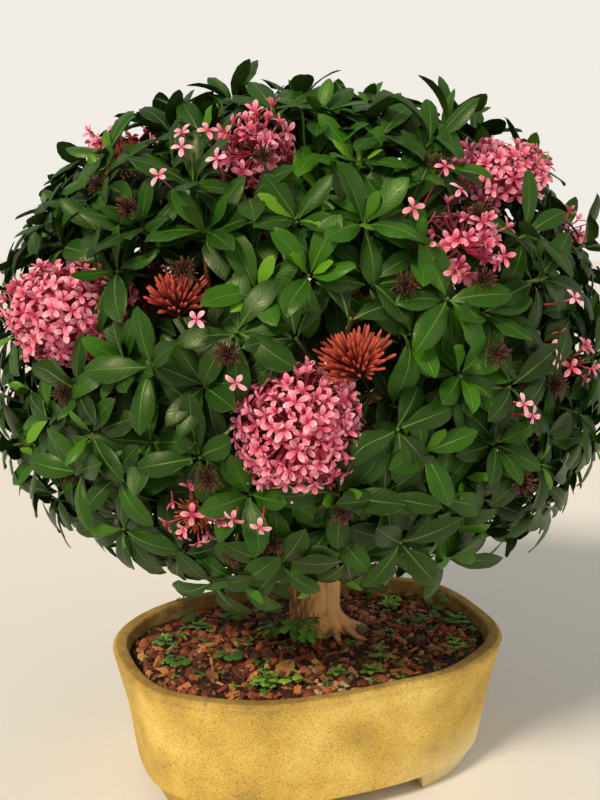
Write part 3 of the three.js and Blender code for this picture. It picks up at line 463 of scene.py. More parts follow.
def rigid(shape, at, axis, spin, size):
    """A shape's points, turned so that its Z looks along an axis."""
    first, second = across(axis)
    first = turned(first, axis, spin)
    second = np.cross(axis, first)
    scaled = shape.points * np.asarray(size)
    return at + scaled[:, :1] * first + scaled[:, 1:2] * second + scaled[:, 2:3] * axis


def arch(start, start_way, end, end_way):
    """Four points of a stem that leaves one place one way and reaches another its own way."""
    reach = np.linalg.norm(end - start) / 3
    pull, push = start + start_way * reach, end - end_way * reach
    t = np.array(STEM_STATIONS)[:, None]
    return (1 - t) ** 3 * start + 3 * t * (1 - t) ** 2 * pull + 3 * t**2 * (1 - t) * push + t**3 * end


# ------------------------------------------------------------------ reading the frame's solids


def welded(node):
    """A CAD node's mesh with its doubles merged, to read places from."""
    mesh = bmesh.new()
    mesh.from_mesh(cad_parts[node].data)
    bmesh.ops.remove_doubles(mesh, verts=mesh.verts, dist=WELD)
    return mesh


def beyond(ring, known):
    """The points next to a ring, apart from those known already."""
    return {e.other_vert(v) for v in ring for e in v.link_edges} - set(ring) - set(known)


def middle(verts):
    return np.mean([v.co for v in verts], axis=0)


def leaf_ring(verts):
    """The midrib's place, facing and width of a leaf's four-sided ring, or None where it isn't one."""
    verts = list(verts)
    pairs = [(a, b) for i, a in enumerate(verts) for b in verts[i + 1 :]]
    ribs = min(pairs, key=lambda pair: (pair[0].co - pair[1].co).length)
    edges = [v for v in verts if v not in ribs]
    rib, width = (ribs[0].co - ribs[1].co).length, (edges[0].co - edges[1].co).length
    if rib > 2 * MM or not 6 * MM < width < 22 * MM:
        return None
    between = (edges[0].co + edges[1].co) / 2
    top, bottom = sorted(ribs, key=lambda v: (v.co - between).length)
    return np.array((top.co + bottom.co) / 2), np.array((top.co - bottom.co).normalized()), width / 2


def read_leaf(tip):
    """A leaf's curve, facing and half width, read backwards from its tip, with the points that it uses."""
    if len(tip.link_edges) != 4:
        return None
    high = beyond([tip], [])
    low = beyond(high, [tip])
    if len(low) != 4:
        return None
    root = beyond(low, high)
    rings = leaf_ring(high), leaf_ring(low)
    if None in rings or len(root) != 4:
        return None
    (far, far_face, _), (near, near_face, half) = rings
    leaf = {
        "spine": np.array((middle(root), near, far, np.array(tip.co))),
        "facing": np.array((near_face, near_face, far_face, far_face)),
        "half": half / 0.96,
    }
    return leaf, {tip, *high, *low}, root


def read_spray(node):
    """The rosettes of a spray with their leaves, its fork and its foot."""
    mesh = welded(node)
    hubs, used = [], set()
    for tip in mesh.verts:
        found = read_leaf(tip)
        if found is None:
            continue
        leaf, own, root = found
        used |= own
        start = leaf["spine"][0]
        hub = next((h for h in hubs if np.linalg.norm(h["leaves"][0]["spine"][0] - start) < 6 * MM), None)
        if hub is None:
            hub = {"leaves": [], "verts": set()}
            hubs.append(hub)
        hub["leaves"].append(leaf)
        hub["verts"] |= root
    for hub in hubs:
        hub["centre"] = middle(hub["verts"])
        hub["up"] = unit(sum(leaf["facing"][0] for leaf in hub["leaves"]))
    rest = [v for v in mesh.verts if v not in used]
    rest = [v for v in rest if all(np.linalg.norm(np.array(v.co) - h["centre"]) > 6.5 * MM for h in hubs)]
    heads = np.mean([h["centre"] for h in hubs], axis=0)
    rest.sort(key=lambda v: np.linalg.norm(np.array(v.co) - heads))
    return {"node": node, "hubs": hubs, "fork": middle(rest[:4]), "foot": middle(rest[-3:])}


# A head with at least this radius is a rounded one with all its florets.
FULL_HEAD = 33 * MM
# How far round a head's florets go, unless said otherwise below, as an angle from its axis.
SPREAD = 2.2
# How far a few heads are moved (mm), how wide, deep and high they are, which way they look and how far round
# their florets go.
HEAD_FORMS = {
    "flower_head_left": ((5, 0, 0), (1.12, 1.0, 0.84), None, SPREAD),
    "flower_head_top_right": ((-13, -4, 3), (1.08, 1.08, 0.9), (-0.3, -0.45, 0.85), 1.4),
    "flower_head_right": ((-9, -4, 1), (1.15, 1.15, 1.0), None, SPREAD),
    "bud_head_centre": ((-2, -5, 2), (1.12, 1.12, 1.12), None, SPREAD),
}


def meeting_point(points, ways):
    """The point that lies nearest to all the lines through some points."""
    sides = [np.eye(3) - np.outer(way, way) for way in ways]
    return np.linalg.solve(sum(sides), sum(side @ point for side, point in zip(sides, points)))


def read_head(node):
    """The middle of a head, the ways and reaches of what it sprouts, its axis and its foot."""
    mesh = welded(node)
    blooms = node.startswith("flower")
    tips, ways = [], []
    for vert in mesh.verts:
        tip = np.array(vert.co)
        ring = [np.array(e.other_vert(vert).co) for e in vert.link_edges]
        ring.sort(key=lambda p: np.linalg.norm(p - tip))
        reaches = [np.linalg.norm(p - tip) for p in ring]
        # A floret's middle has four near neighbours and four far ones. The tip of a bud or stalk has three.
        if len(ring) == (8 if blooms else 3) and (not blooms or reaches[3] / reaches[4] < 0.6):
            tips.append(tip)
            ways.append(unit(tip - np.mean(ring, axis=0)))
    centre = meeting_point(tips, ways)
    far = sorted((np.array(v.co) for v in mesh.verts), key=lambda p: -np.linalg.norm(p - centre))
    outs = [unit(tip - centre) for tip in tips]
    shift, form, lean, spread = HEAD_FORMS.get(node, ((0, 0, 0), (1, 1, 1), None, SPREAD))
    return {
        "node": node,
        "centre": centre + np.array(shift) * MM,
        "outs": outs,
        "radius": float(np.mean([np.linalg.norm(tip - centre) for tip in tips])),
        "axis": unit(np.array(lean)) if lean else unit(sum(outs)),
        "foot": np.mean(far[:3], axis=0),
        "form": np.array(form, float),
        "spread": spread,
    }


def made(*names):
    """Materials that are there already."""
    return [bpy.data.materials[name] for name in names]


def nodes_named(start):
    return sorted(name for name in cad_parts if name.startswith(start))


PLANT = {
    "sprays": [read_spray(node) for node in nodes_named("leafy_spray_")],
    "flowers": [read_head(node) for node in nodes_named("flower_head_")],
    "buds": [read_head(node) for node in nodes_named("bud_head_")],
    "spent": [read_head(node) for node in nodes_named("spent_head_")],
}
HEADS = PLANT["flowers"] + PLANT["buds"]


# ------------------------------------------------------------------ the crown's form

# The crown is a rounded dome. These give its middle, its half width, half depth, height and depth below the
# middle, how square its sides are, and the point that its shoots grow away from.
CROWN_MIDDLE = POT_MIDDLE + np.array((-6.0, 10.0, 290.0)) * MM
CROWN_HALF = np.array((0.227, 0.198))
CROWN_RISE, CROWN_DROP, CROWN_ROUND = 0.218, 0.128, 2.4
HEART = CROWN_MIDDLE - np.array((0.0, 0.0, 0.055))


def crown_place(azimuth, z):
    """A point on the crown's surface: azimuths turn from the front towards +X."""
    tall = CROWN_RISE if z > CROWN_MIDDLE[2] else CROWN_DROP
    t = min(abs(z - CROWN_MIDDLE[2]) / tall, 1.0)
    w = (1 - t**CROWN_ROUND) ** (1 / CROWN_ROUND)
    x, y = CROWN_HALF * w * np.array((math.sin(azimuth), -math.cos(azimuth)))
    return np.array((CROWN_MIDDLE[0] + x, CROWN_MIDDLE[1] + y, z))


def crown_at(degrees, millimetres):
    return crown_place(math.radians(degrees), millimetres * MM)


def crown_normal(place):
    away = place - CROWN_MIDDLE
    tall = CROWN_RISE if away[2] > 0 else CROWN_DROP
    flat = away[:2] / CROWN_HALF
    w = max(np.linalg.norm(flat), 1e-6)
    out = w ** (CROWN_ROUND - 2) * flat / CROWN_HALF
    rise = math.copysign(abs(away[2] / tall) ** (CROWN_ROUND - 1), away[2]) / tall
    return unit(np.array((out[0], out[1], rise)))


def crown_places(number, draw):
    """Places drawn evenly over the crown, as azimuth and height."""
    found = []
    lowest = CROWN_MIDDLE[2] - 0.85 * CROWN_DROP
    while len(found) < number:
        azimuth = draw.uniform(-math.pi, math.pi)
        place = crown_place(azimuth, draw.uniform(lowest, CROWN_MIDDLE[2] + CROWN_RISE))
        flat = np.linalg.norm((place - CROWN_MIDDLE)[:2] / CROWN_HALF)
        steep = max(np.linalg.norm(crown_normal(place)[:2]), 0.15)
        if draw.random() < 0.15 * flat / steep + 0.1:
            found.append(place)
    return found


# ------------------------------------------------------------------ materials


def add_node(tree, kind, *values, out=0, stops=None, sockets=None, **settings):
    """Adds a node with its settings, its ramp's stops and its inputs (values or links); gives an output."""
    node = tree.nodes.new("ShaderNode" + kind)
    for name, value in settings.items():
        setattr(node, name, value)
    if stops:
        ramp = node.color_ramp
        while len(ramp.elements) < len(stops):
            ramp.elements.new(1.0)
        for element, (place, value) in zip(ramp.elements, stops):
            element.position = place
            element.color = tuple(value)
    for socket, value in (*enumerate(values), *(sockets or {}).items()):
        if isinstance(value, bpy.types.NodeSocket):
            tree.links.new(value, node.inputs[socket])
        elif value is not None:
            node.inputs[socket].default_value = value
    return node.outputs[out] if node.outputs else node


class Look:
    """A material while it is made: its node tree, and short names for the nodes that it often needs."""

    def __init__(self, name):
        self.material = bpy.data.materials.new(name)
        self.material.use_nodes = True
        self.tree = self.material.node_tree
        self.tree.nodes.clear()
        self.place = add_node(self.tree, "TexCoord", out="Object")

    def mapped(self):
        """How far along its shape a point lies, and how far across it."""
        uv = add_node(self.tree, "UVMap", uv_map="along")
        return add_node(self.tree, "SeparateXYZ", uv, out=slice(0, 2))

    def mark(self, name):
        """A number that the mesh itself carries."""
        return add_node(self.tree, "Attribute", attribute_name=name, out="Fac")

    def sum(self, operation, *values, clamp=False):
        return add_node(self.tree, "Math", *values, operation=operation, use_clamp=clamp)

    def scaled(self, value, by, plus=0.0):
        return self.sum("MULTIPLY_ADD", value, by, plus)

    def off_middle(self, side):
        """How far a point lies from its shape's midline."""
        return self.sum("ABSOLUTE", self.sum("SUBTRACT", side, 0.5))

    def noise(self, size, detail=3.0, roughness=None, place=None):
        """Noise in patches about as large as given, in mm."""
        return add_node(self.tree, "TexNoise", place or self.place, None, 1 / (size * MM), detail, roughness)

    def ramp(self, tone, *stops):
        return add_node(self.tree, "ValToRGB", tone, stops=stops)

    def mixed(self, amount, share_of_it, colour, other):
        """A colour with a share of another laid over it."""
        amount = self.sum("MULTIPLY", amount, share_of_it)
        return add_node(self.tree, "Mix", amount, sockets={6: colour, 7: other}, out=2, data_type="RGBA")

    def finish(self, colour, roughness, relief=None, depth=0.3, strength=0.6, ior=1.4, sunk=False, **more):
        """The surface with its relief, which is given in mm, and the material's output."""
        sockets = {"Base Color": colour, "Roughness": roughness, "IOR": ior}
        if relief:
            bumps = {"Height": relief, "Distance": depth * MM, "Strength": strength}
            sockets["Normal"] = add_node(self.tree, "Bump", sockets=bumps, invert=sunk)
        sockets.update({name.replace("_", " "): value for name, value in more.items()})
        add_node(self.tree, "OutputMaterial", add_node(self.tree, "BsdfPrincipled", sockets=sockets))
        return self.material


def leaf_material(settings):
    """Waxy evergreen leaf: the wax gives a soft gloss over a dark green that lightens in the young whorls."""
    look = Look("waxy_evergreen_leaf")
    along, side = look.mapped()
    # The map's first number goes on from 1 on the underside.
    under = look.sum("GREATER_THAN", along, 1.0001)
    along = look.sum("SUBTRACT", along, under)
    tone = look.scaled(look.noise(14), 0.2, look.mark("tone"))
    tone = look.scaled(look.mark("draw"), 0.14, tone)
    # The lowest stop is painted shade; the inner shoots deep in the crown and the lower whorls lie nearest
    # it.
    stops = ((0.1, settings.old), (0.42, settings.grown), (0.62, settings.fresh), (1.0, settings.young))
    green = look.ramp(tone, *stops)
    # The pale midrib narrows towards the tip, and the side veins leave it at a slant.
    off_rib = look.off_middle(side)
    rib = look.sum("DIVIDE", off_rib, look.scaled(along, -0.045, 0.052))
    rib = look.sum("SUBTRACT", 1.0, rib, clamp=True)
    slant = look.scaled(look.scaled(off_rib, -0.5, along), 62.0)
    veins = look.sum("SUBTRACT", look.sum("SINE", slant), 0.72, clamp=True)
    green = look.mixed(veins, 0.2, green, settings.rib)
    green = look.mixed(rib, 0.7, green, settings.rib)
    green = look.mixed(under, 0.6, green, settings.underside)
    gloss = look.scaled(under, 0.25, look.scaled(look.noise(5), 0.3, 0.24))
    wax = {"Specular_IOR_Level": 0.4, "Specular_Tint": linear("#F4FFD0")}
    return look.finish(green, gloss, look.scaled(veins, 0.8, rib), 0.3, 0.6, 1.42, sunk=True, **wax)


def petal_material(settings):
    """Thin soft petal: light passes into it, so it is pale at its tips and deeper at its throat."""
    look = Look("soft_pink_petal")
    along, side = look.mapped()
    # The tone that the mesh carries is painted shade: florets deeper in a head come out deeper pink.
    tone = look.scaled(look.mark("tone"), -0.55, along)
    tone = look.scaled(look.mark("draw"), 0.34, tone)
    tone = look.sum("SUBTRACT", tone, 0.17)
    pink = look.ramp(tone, (0.02, settings.throat), (0.4, settings.pink), (0.98, settings.pale))
    line = look.sum("MULTIPLY_ADD", look.off_middle(side), -9.0, 1.0, clamp=True)
    pink = look.mixed(line, 0.3, pink, settings.throat)
    velvet = look.scaled(look.noise(3), 0.2, 0.42)
    soft = {"Sheen_Weight": 0.1, "Subsurface_Weight": 0.2, "Subsurface_Scale": 1.5 * MM}
    return look.finish(pink, velvet, line, 0.2, 0.5, **soft)


def bud_material(settings):
    """Smooth bud: its skin has a soft shine, and its dark stalk lightens to coral where it will open."""
    look = Look("smooth_coral_bud")
    tone = look.scaled(look.mark("draw"), 0.3, look.mapped()[0])
    tone = look.sum("DIVIDE", tone, 1.3)
    red = look.ramp(tone, (0.36, settings.spent), (0.62, settings.bud_red), (0.86, settings.bud_tip))
    shine = look.scaled(look.noise(2), 0.25, 0.34)
    return look.finish(red, shine, ior=1.42, Subsurface_Weight=0.1, Subsurface_Scale=1 * MM)


def spent_material(settings):
    """Dry flower stalk: dead tissue is matt and dark, and rusty where it faded last."""
    look = Look("dry_flower_stalk")
    tone = look.scaled(look.mapped()[0], 0.35, look.mark("tone"))
    tone = look.scaled(look.mark("draw"), 0.35, tone)
    rust, dark = linear("#B4602C"), linear("#1C100B")
    stops = ((0.1, dark), (0.4, settings.spent), (0.7, linear("#7A4630")), (1.0, rust))
    grain = look.noise(1.2)
    return look.finish(look.ramp(tone, *stops), look.scaled(grain, 0.3, 0.6), grain, 0.2)


def bark_material(settings):
    """Fibrous bark: long pale ridges, lightest where a highlight is painted on them, and dark furrows part
    them.
    """
    look = Look("fibrous_bark")
    stretch = add_node(look.tree, "Mapping", look.place, sockets={"Scale": (1.0, 1.0, 0.16)})
    fibres = look.noise(settings.fibre / MM, 5.0, 0.65, stretch)
    patches = look.noise(12)
    tone = look.scaled(fibres, 0.75, look.scaled(patches, 0.3))
    # Wood left of the trunk's foot, which holds the second stem, gets painted shade, and the bark is darker
    # towards the foot.
    tone = look.scaled(look.mark("age"), -0.16, tone)
    # The lightest stop, on the ridges, is a painted highlight.
    brown = look.ramp(tone, (0.34, settings.furrow_colour), (0.5, settings.bark), (0.74, linear("#E0B882")))
    return look.finish(brown, look.scaled(patches, 0.2, 0.66), fibres, 1.4, 0.9)


def twig_material(settings):
    """Young shoot: green and smooth near its leaves, and barked where it is older."""
    look = Look("young_shoot")
    grain = look.noise(3)
    tone = look.scaled(grain, 0.5, look.mapped()[0])
    stops = ((0.45, settings.furrow_colour), (0.85, linear("#5A5228")), (1.0, settings.green_twig))
    shade = look.ramp(tone, *stops)
    return look.finish(shade, look.scaled(grain, 0.3, 0.4), grain, ior=1.42)


def clay_material(settings):
    """Unglazed fired clay: sandy, with iron specks, and stained where the rim and the inside stay damp."""
    look = Look("unglazed_fired_clay")
    x, _, height = add_node(look.tree, "SeparateXYZ", look.place, out=slice(0, 3))
    # The large mottles are partly the clay's own uneven firing and partly painted dappled shade and light
    # from the leaves above.
    mottle_and_dappled_shade, sand = look.noise(48, 4.0), look.noise(1.7, 3.0, 0.7)
    tone = look.scaled(sand, 0.42, look.scaled(mottle_and_dappled_shade, 0.85))
    ochre = look.ramp(tone, (0.46, settings.shade), (0.64, settings.clay), (0.84, linear("#F2D678")))
    # The specks are under a millimetre across. They are drawn at 1.9 mm apart so that they show.
    cells = add_node(look.tree, "TexVoronoi", look.place, None, 1 / (1.9 * MM), out="Distance")
    few = look.sum("GREATER_THAN", look.noise(5, 1.0), 0.43)
    specks = look.sum("MULTIPLY", look.sum("LESS_THAN", cells, 0.24), few)
    ochre = look.mixed(specks, 0.6, ochre, settings.speck)
    # Hard water left a pale bloom on one low corner.
    low = add_node(look.tree, "MapRange", height, 52 * MM, 6 * MM)
    right = add_node(look.tree, "MapRange", look.sum("SUBTRACT", x, POT_MIDDLE[0]), 45 * MM, 125 * MM)
    bloom = look.sum("MULTIPLY", look.sum("MULTIPLY", low, right), mottle_and_dappled_shade, clamp=True)
    bloom = look.sum("MULTIPLY", bloom, 1.5, clamp=True)
    ochre = look.mixed(bloom, 1.0, ochre, linear("#E9DDB4"))
    # Damp stains the rim and the inside, and breaks up in patches as it creeps over the edge.
    rim = add_node(look.tree, "MapRange", height, 93 * MM, 100.5 * MM, 0.0, 0.5)
    damp = look.sum("MAXIMUM", look.mark("damp"), rim)
    ragged = look.scaled(look.noise(9, 5.0, 0.6), 1.7)
    ochre = look.mixed(look.sum("MULTIPLY", damp, ragged, clamp=True), 0.85, ochre, settings.stain)
    grit = look.noise(0.9, 2.0)
    relief = look.sum("SUBTRACT", look.scaled(sand, 0.8, grit), specks)
    return look.finish(ochre, look.scaled(grit, 0.2, 0.72), relief, 0.7, 0.8, 1.5)


def soil_material(settings):
    """Damp potting soil: nearly black between its crumbs, brown on them."""
    look = Look("damp_potting_soil")
    crumbs = look.noise(3, 6.0, 0.7)
    brown = look.ramp(crumbs, (0.38, settings.dark), (0.6, linear("#452A1A")), (0.8, linear("#70472C")))
    return look.finish(brown, look.scaled(crumbs, 0.3, 0.6), crumbs, 2.0, 1.0)


def litter_material(name, colours, grain):
    """Bark chips, crumbs and grit: each has its own colour out of a range, and a fibrous or sandy face."""
    look = Look(name)
    face = look.noise(grain, 4.0, 0.65)
    tone = look.sum("SUBTRACT", look.scaled(face, 0.5, look.mark("draw")), 0.25)
    colours = [linear(colour) if isinstance(colour, str) else colour for colour in colours]
    shade = look.ramp(tone, *((i / (len(colours) - 1), colour) for i, colour in enumerate(colours)))
    return look.finish(shade, look.scaled(face, 0.3, 0.55), face, 0.6, 0.8)


def weed_material(settings):
    """Tender weed leaf: thin and matt, lighter towards its edge, and paler in some plants, partly their own
    yellower colour and partly painted light.
    """
    look = Look("tender_weed_leaf")
    grain = look.noise(1.5)
    tone = look.scaled(look.mapped()[0], 0.15, look.scaled(look.mark("draw"), 0.75))
    tone = look.scaled(grain, 0.2, tone)
    green = look.ramp(tone, (0.1, linear("#30551F")), (0.5, settings.leaf), (1.0, settings.yellow_and_painted_light_leaf))
    soft = {"Subsurface_Weight": 0.1, "Subsurface_Scale": 1 * MM}
    return look.finish(green, look.scaled(grain, 0.3, 0.45), grain, 0.2, **soft)


def floor_material(settings):
    """Matt studio paper: even, with the faintest tooth."""
    look = Look("studio_paper")
    tooth = look.noise(4)
    pale = look.mixed(tooth, 0.08, settings.floor, linear("#B8B4AC"))
    return look.finish(pale, look.scaled(tooth, 0.1, 0.8))


# ------------------------------------------------------------------ the pot


def rounded(profile, steps=4):
    """A profile of (inset, height, radius) points with an arc at each corner that has a radius."""
    rings = []
    for k, (inset, z, radius) in enumerate(profile):
        here = Vector((inset, z))
        if not radius or k in (0, len(profile) - 1):
            rings.append((inset, z))
            continue
        before = (Vector(profile[k - 1][:2]) - here).normalized()
        after = (Vector(profile[k + 1][:2]) - here).normalized()
        reach = radius / math.tan(before.angle(after) / 2)
        for i in range(steps + 1):
            t = i / steps
            point = here + before * reach * (1 - t) ** 2 + after * reach * t**2
            rings.append((point.x, point.y))
    return rings


def loft(name, settings, rings, sides=112):
    """A closed body through rings of the pot's outline: each ring is the last one extruded and resized."""
    first_inset, first_z = rings[0]
    piece = primitive(bpy.ops.mesh.primitive_circle_add, name, vertices=sides, radius=1.0, fill_type="NGON")
    power = 2 / settings.squareness
    half, deep = settings.length / 2, settings.width / 2
    for vert in piece.data.vertices:
        at = math.atan2(vert.co.y, vert.co.x)
        c, s = math.cos(at), math.sin(at)
        vert.co.x = math.copysign(abs(c) ** power, c) * (half - first_inset)
        vert.co.y = math.copysign(abs(s) ** power, s) * (deep - first_inset)
        vert.co.z = first_z
    bpy.ops.object.mode_set(mode="EDIT")
    bpy.ops.mesh.select_all(action="SELECT")
    for (inset, z), (next_inset, next_z) in zip(rings, rings[1:]):
        bpy.ops.mesh.extrude_region_move(TRANSFORM_OT_translate={"value": (0.0, 0.0, next_z - z)})
        factors = ((half - next_inset) / (half - inset), (deep - next_inset) / (deep - inset), 1.0)
        bpy.ops.transform.resize(value=factors, center_override=(0.0, 0.0, next_z))
    bpy.ops.mesh.select_all(action="SELECT")
    bpy.ops.mesh.normals_make_consistent(inside=False)
    bpy.ops.object.mode_set(mode="OBJECT")
    return piece


def cut(piece, cutter, operation="DIFFERENCE"):
    """Cuts a piece with another, or joins them, and removes the other."""
    apply(piece, "BOOLEAN", operation=operation, object=cutter, solver="EXACT")
    bpy.data.objects.remove(cutter)


def stand_in_place(piece, settings):
    """Turns a piece made round the origin as the pot stands, and moves it over the pot's middle."""
    select(piece)
    piece.rotation_euler.z = settings.turn
    piece.location = POT_MIDDLE
    bpy.ops.object.transform_apply(location=True, rotation=True, scale=True)


def wall_inset(settings, z):
    return settings.lip + (POT_HEIGHT - z) * settings.taper


class IXORA_OT_pot(Operator):
    """Models the clay pot: wall, rolled lip, floor with drainage holes, and four corner feet"""

    bl_idname = "ixora.pot"
    bl_label = "Clay Pot"

    def execute(self, context):
        settings = context.scene.ixora_pot
        under = settings.foot_height
        heel, well, floor = under + 6 * MM, under + 24 * MM, under + settings.floor
        lip_foot = POT_HEIGHT - settings.lip_depth
        outer = [wall_inset(settings, z) for z in (under, heel, lip_foot)]
        inner = [wall_inset(settings, z) + settings.wall for z in (POT_HEIGHT, well, floor)]
        # Inset from the lip's outline, height, and radius of the arc, from the underside round to the floor.
        profile = [
            (outer[0] + 20 * MM, under, 0),
            (outer[0] + 8 * MM, under, 2 * MM),
            (outer[1], heel, 3 * MM),
            (outer[2], lip_foot, 30 * MM),
            (0.0, POT_HEIGHT - 2.4 * MM, 1.6 * MM),
            (2.6 * MM, POT_HEIGHT, 1.6 * MM),
            (inner[0] - 1 * MM, POT_HEIGHT - 0.3 * MM, 2.4 * MM),
            (inner[1], well, 8 * MM),
            (inner[2] + 4 * MM, floor, 2 * MM),
            (inner[2] + 20 * MM, floor, 0),
        ]
        pot = loft("clay_pot", settings, rounded(profile))
        for side in (-1, 1):
            sizes = {"radius": settings.drain_radius, "depth": 60 * MM, "vertices": 40}
            place = (side * settings.drain_offset, 0.0, under)
            cut(pot, primitive(bpy.ops.mesh.primitive_cylinder_add, "drain", location=place, **sizes))
        top = under + 5.5 * MM
        sole = wall_inset(settings, 0)
        skirt = [(sole + 6.5 * MM, 0.0, 0), (sole + 5 * MM, 1.2 * MM, 0)]
        skirt.append((wall_inset(settings, top) + settings.wall / 4, top, 0))
        feet = loft("feet", settings, rounded(skirt))
        long_way = (settings.length - 2 * settings.foot_length, settings.width * 1.2)
        wide_way = (settings.length * 1.2, settings.width - 2 * settings.foot_width)
        for size in (long_way, wide_way):
            way = primitive(bpy.ops.mesh.primitive_cube_add, "way", size=1.0, location=(0, 0, 0))
            way.scale = (size[0], size[1], 2 * under + 14 * MM)
            bpy.ops.object.transform_apply(location=False, rotation=False, scale=True)
            edit_faces(way, lambda face: face.normal.z > 0.5)
            shrink = [(side - 22 * MM) / side for side in size]
            bpy.ops.transform.resize(value=(*shrink, 1.0), center_override=(0.0, 0.0, under + 7 * MM))
            bpy.ops.object.mode_set(mode="OBJECT")
            cut(feet, way)
        cut(pot, feet, "UNION")
        self.press_rim(pot, settings)
        self.dampen(pot)
        stand_in_place(pot, settings)
        finish_piece(pot, "pot", "pot", smooth=42, materials=[clay_material(settings)])
        return {"FINISHED"}

    def press_rim(self, pot, settings):
        """The rim was pressed by hand: it wanders a little in and out, and up and down."""
        for vert in pot.data.vertices:
            raised = max(0.0, (vert.co.z - 60 * MM) / (POT_HEIGHT - 60 * MM))
            if raised:
                at = vert.co.normalized() * 3.1
                drift = noise_at(Vector((at.x, at.y, 0.4))) * settings.wobble * raised
                outward = Vector((vert.co.x, vert.co.y, 0)).normalized()
                vert.co += outward * drift
                vert.co.z += noise_at(Vector((at.x, at.y, 7.7))) * settings.wobble * 0.6 * raised**3

    def dampen(self, pot):
        """Marks where the clay stays damp: inside, and a little on the rim's top."""
        pot.data.update()
        places = read(pot.data.vertices, "co", 3)
        normals = read(pot.data.vertices, "normal", 3)
        outward = places[:, :2] / np.maximum(np.linalg.norm(places[:, :2], axis=1), 1e-6)[:, None]
        facing = (normals[:, :2] * outward).sum(axis=1)
        mark(pot.data, "damp", np.clip(0.72 - facing, 0.0, 1.0) * (places[:, 2] > 50 * MM))


# ------------------------------------------------------------------ the soil


def soil_height(x, y):
    """The soil's height without its crumbs: a low mound round the trunk."""
    from_trunk = ((x - TRUNK_FOOT[0]) ** 2 + (y - TRUNK_FOOT[1]) ** 2) / (62 * MM) ** 2
    return SOIL_TOP + 6 * MM * math.exp(-from_trunk) - (y - POT_MIDDLE[1]) * 0.035


def surface_of(piece):
    """A tree to drop things on a piece with."""
    points = [v.co.copy() for v in piece.data.vertices]
    return BVHTree.FromPolygons(points, [tuple(p.vertices) for p in piece.data.polygons])


def drop(tree, x, y, height=0.3):
    """Where a thing dropped from a height comes to lie, and which way the ground faces there."""
    hit, normal, _, _ = tree.ray_cast(Vector((x, y, height)), Vector((0, 0, -1)), height)
    return (np.array(hit), np.array(normal)) if hit else (None, None)


def within_pot(x, y, margin):
    """Whether a place lies inside the pot's wall by a margin."""
    settings = bpy.context.scene.ixora_pot
    c, s = math.cos(-settings.turn), math.sin(-settings.turn)
    px, py = x - POT_MIDDLE[0], y - POT_MIDDLE[1]
    px, py = px * c - py * s, px * s + py * c
    inset = wall_inset(settings, SOIL_TOP) + settings.wall + margin
    power = settings.squareness
    half, deep = settings.length / 2 - inset, settings.width / 2 - inset
    return abs(px / half) ** power + abs(py / deep) ** power < 1


def chip_shape(name, size, seed, sphere=0):
    """A broken bit: a block or a ball, subdivided and knocked out of shape."""
    if sphere:
        piece = primitive(bpy.ops.mesh.primitive_ico_sphere_add, name, subdivisions=sphere, radius=0.5)
    else:
        piece = primitive(bpy.ops.mesh.primitive_cube_add, name, size=1.0)
    bpy.ops.object.mode_set(mode="EDIT")
    bpy.ops.mesh.select_all(action="SELECT")
    if not sphere:
        bpy.ops.mesh.subdivide(number_cuts=1)
    bpy.ops.transform.vertex_random(offset=0.12 if sphere else 0.21, seed=seed)
    bpy.ops.transform.resize(value=size, center_override=(0, 0, 0))
    bpy.ops.object.mode_set(mode="OBJECT")
    return Shape(piece)


# The broken bits: how finely the ball that each is made from is divided, or 0 for a block, then the width and
# height of each kind for a length of 1, and the seed of its knocks.
BITS = {
    "lump": (2, (0.85, 0.62, 6), (0.7, 0.55, 7)),
    "chip": (0, (0.5, 0.2, 1), (0.62, 0.16, 2), (0.3, 0.24, 3)),
    "crumb": (1, (0.8, 0.7, 4)),
    "pebble": (2, (0.8, 0.6, 5)),
}
# How far from the pot's middle litter is strewn, how far it keeps from the trunk, and where the grit lies.
STREWN = 160 * MM
TRUNK_CLEAR = 24 * MM
GRIT_AT, GRIT_REACH = (20 * MM, -68 * MM), 34 * MM


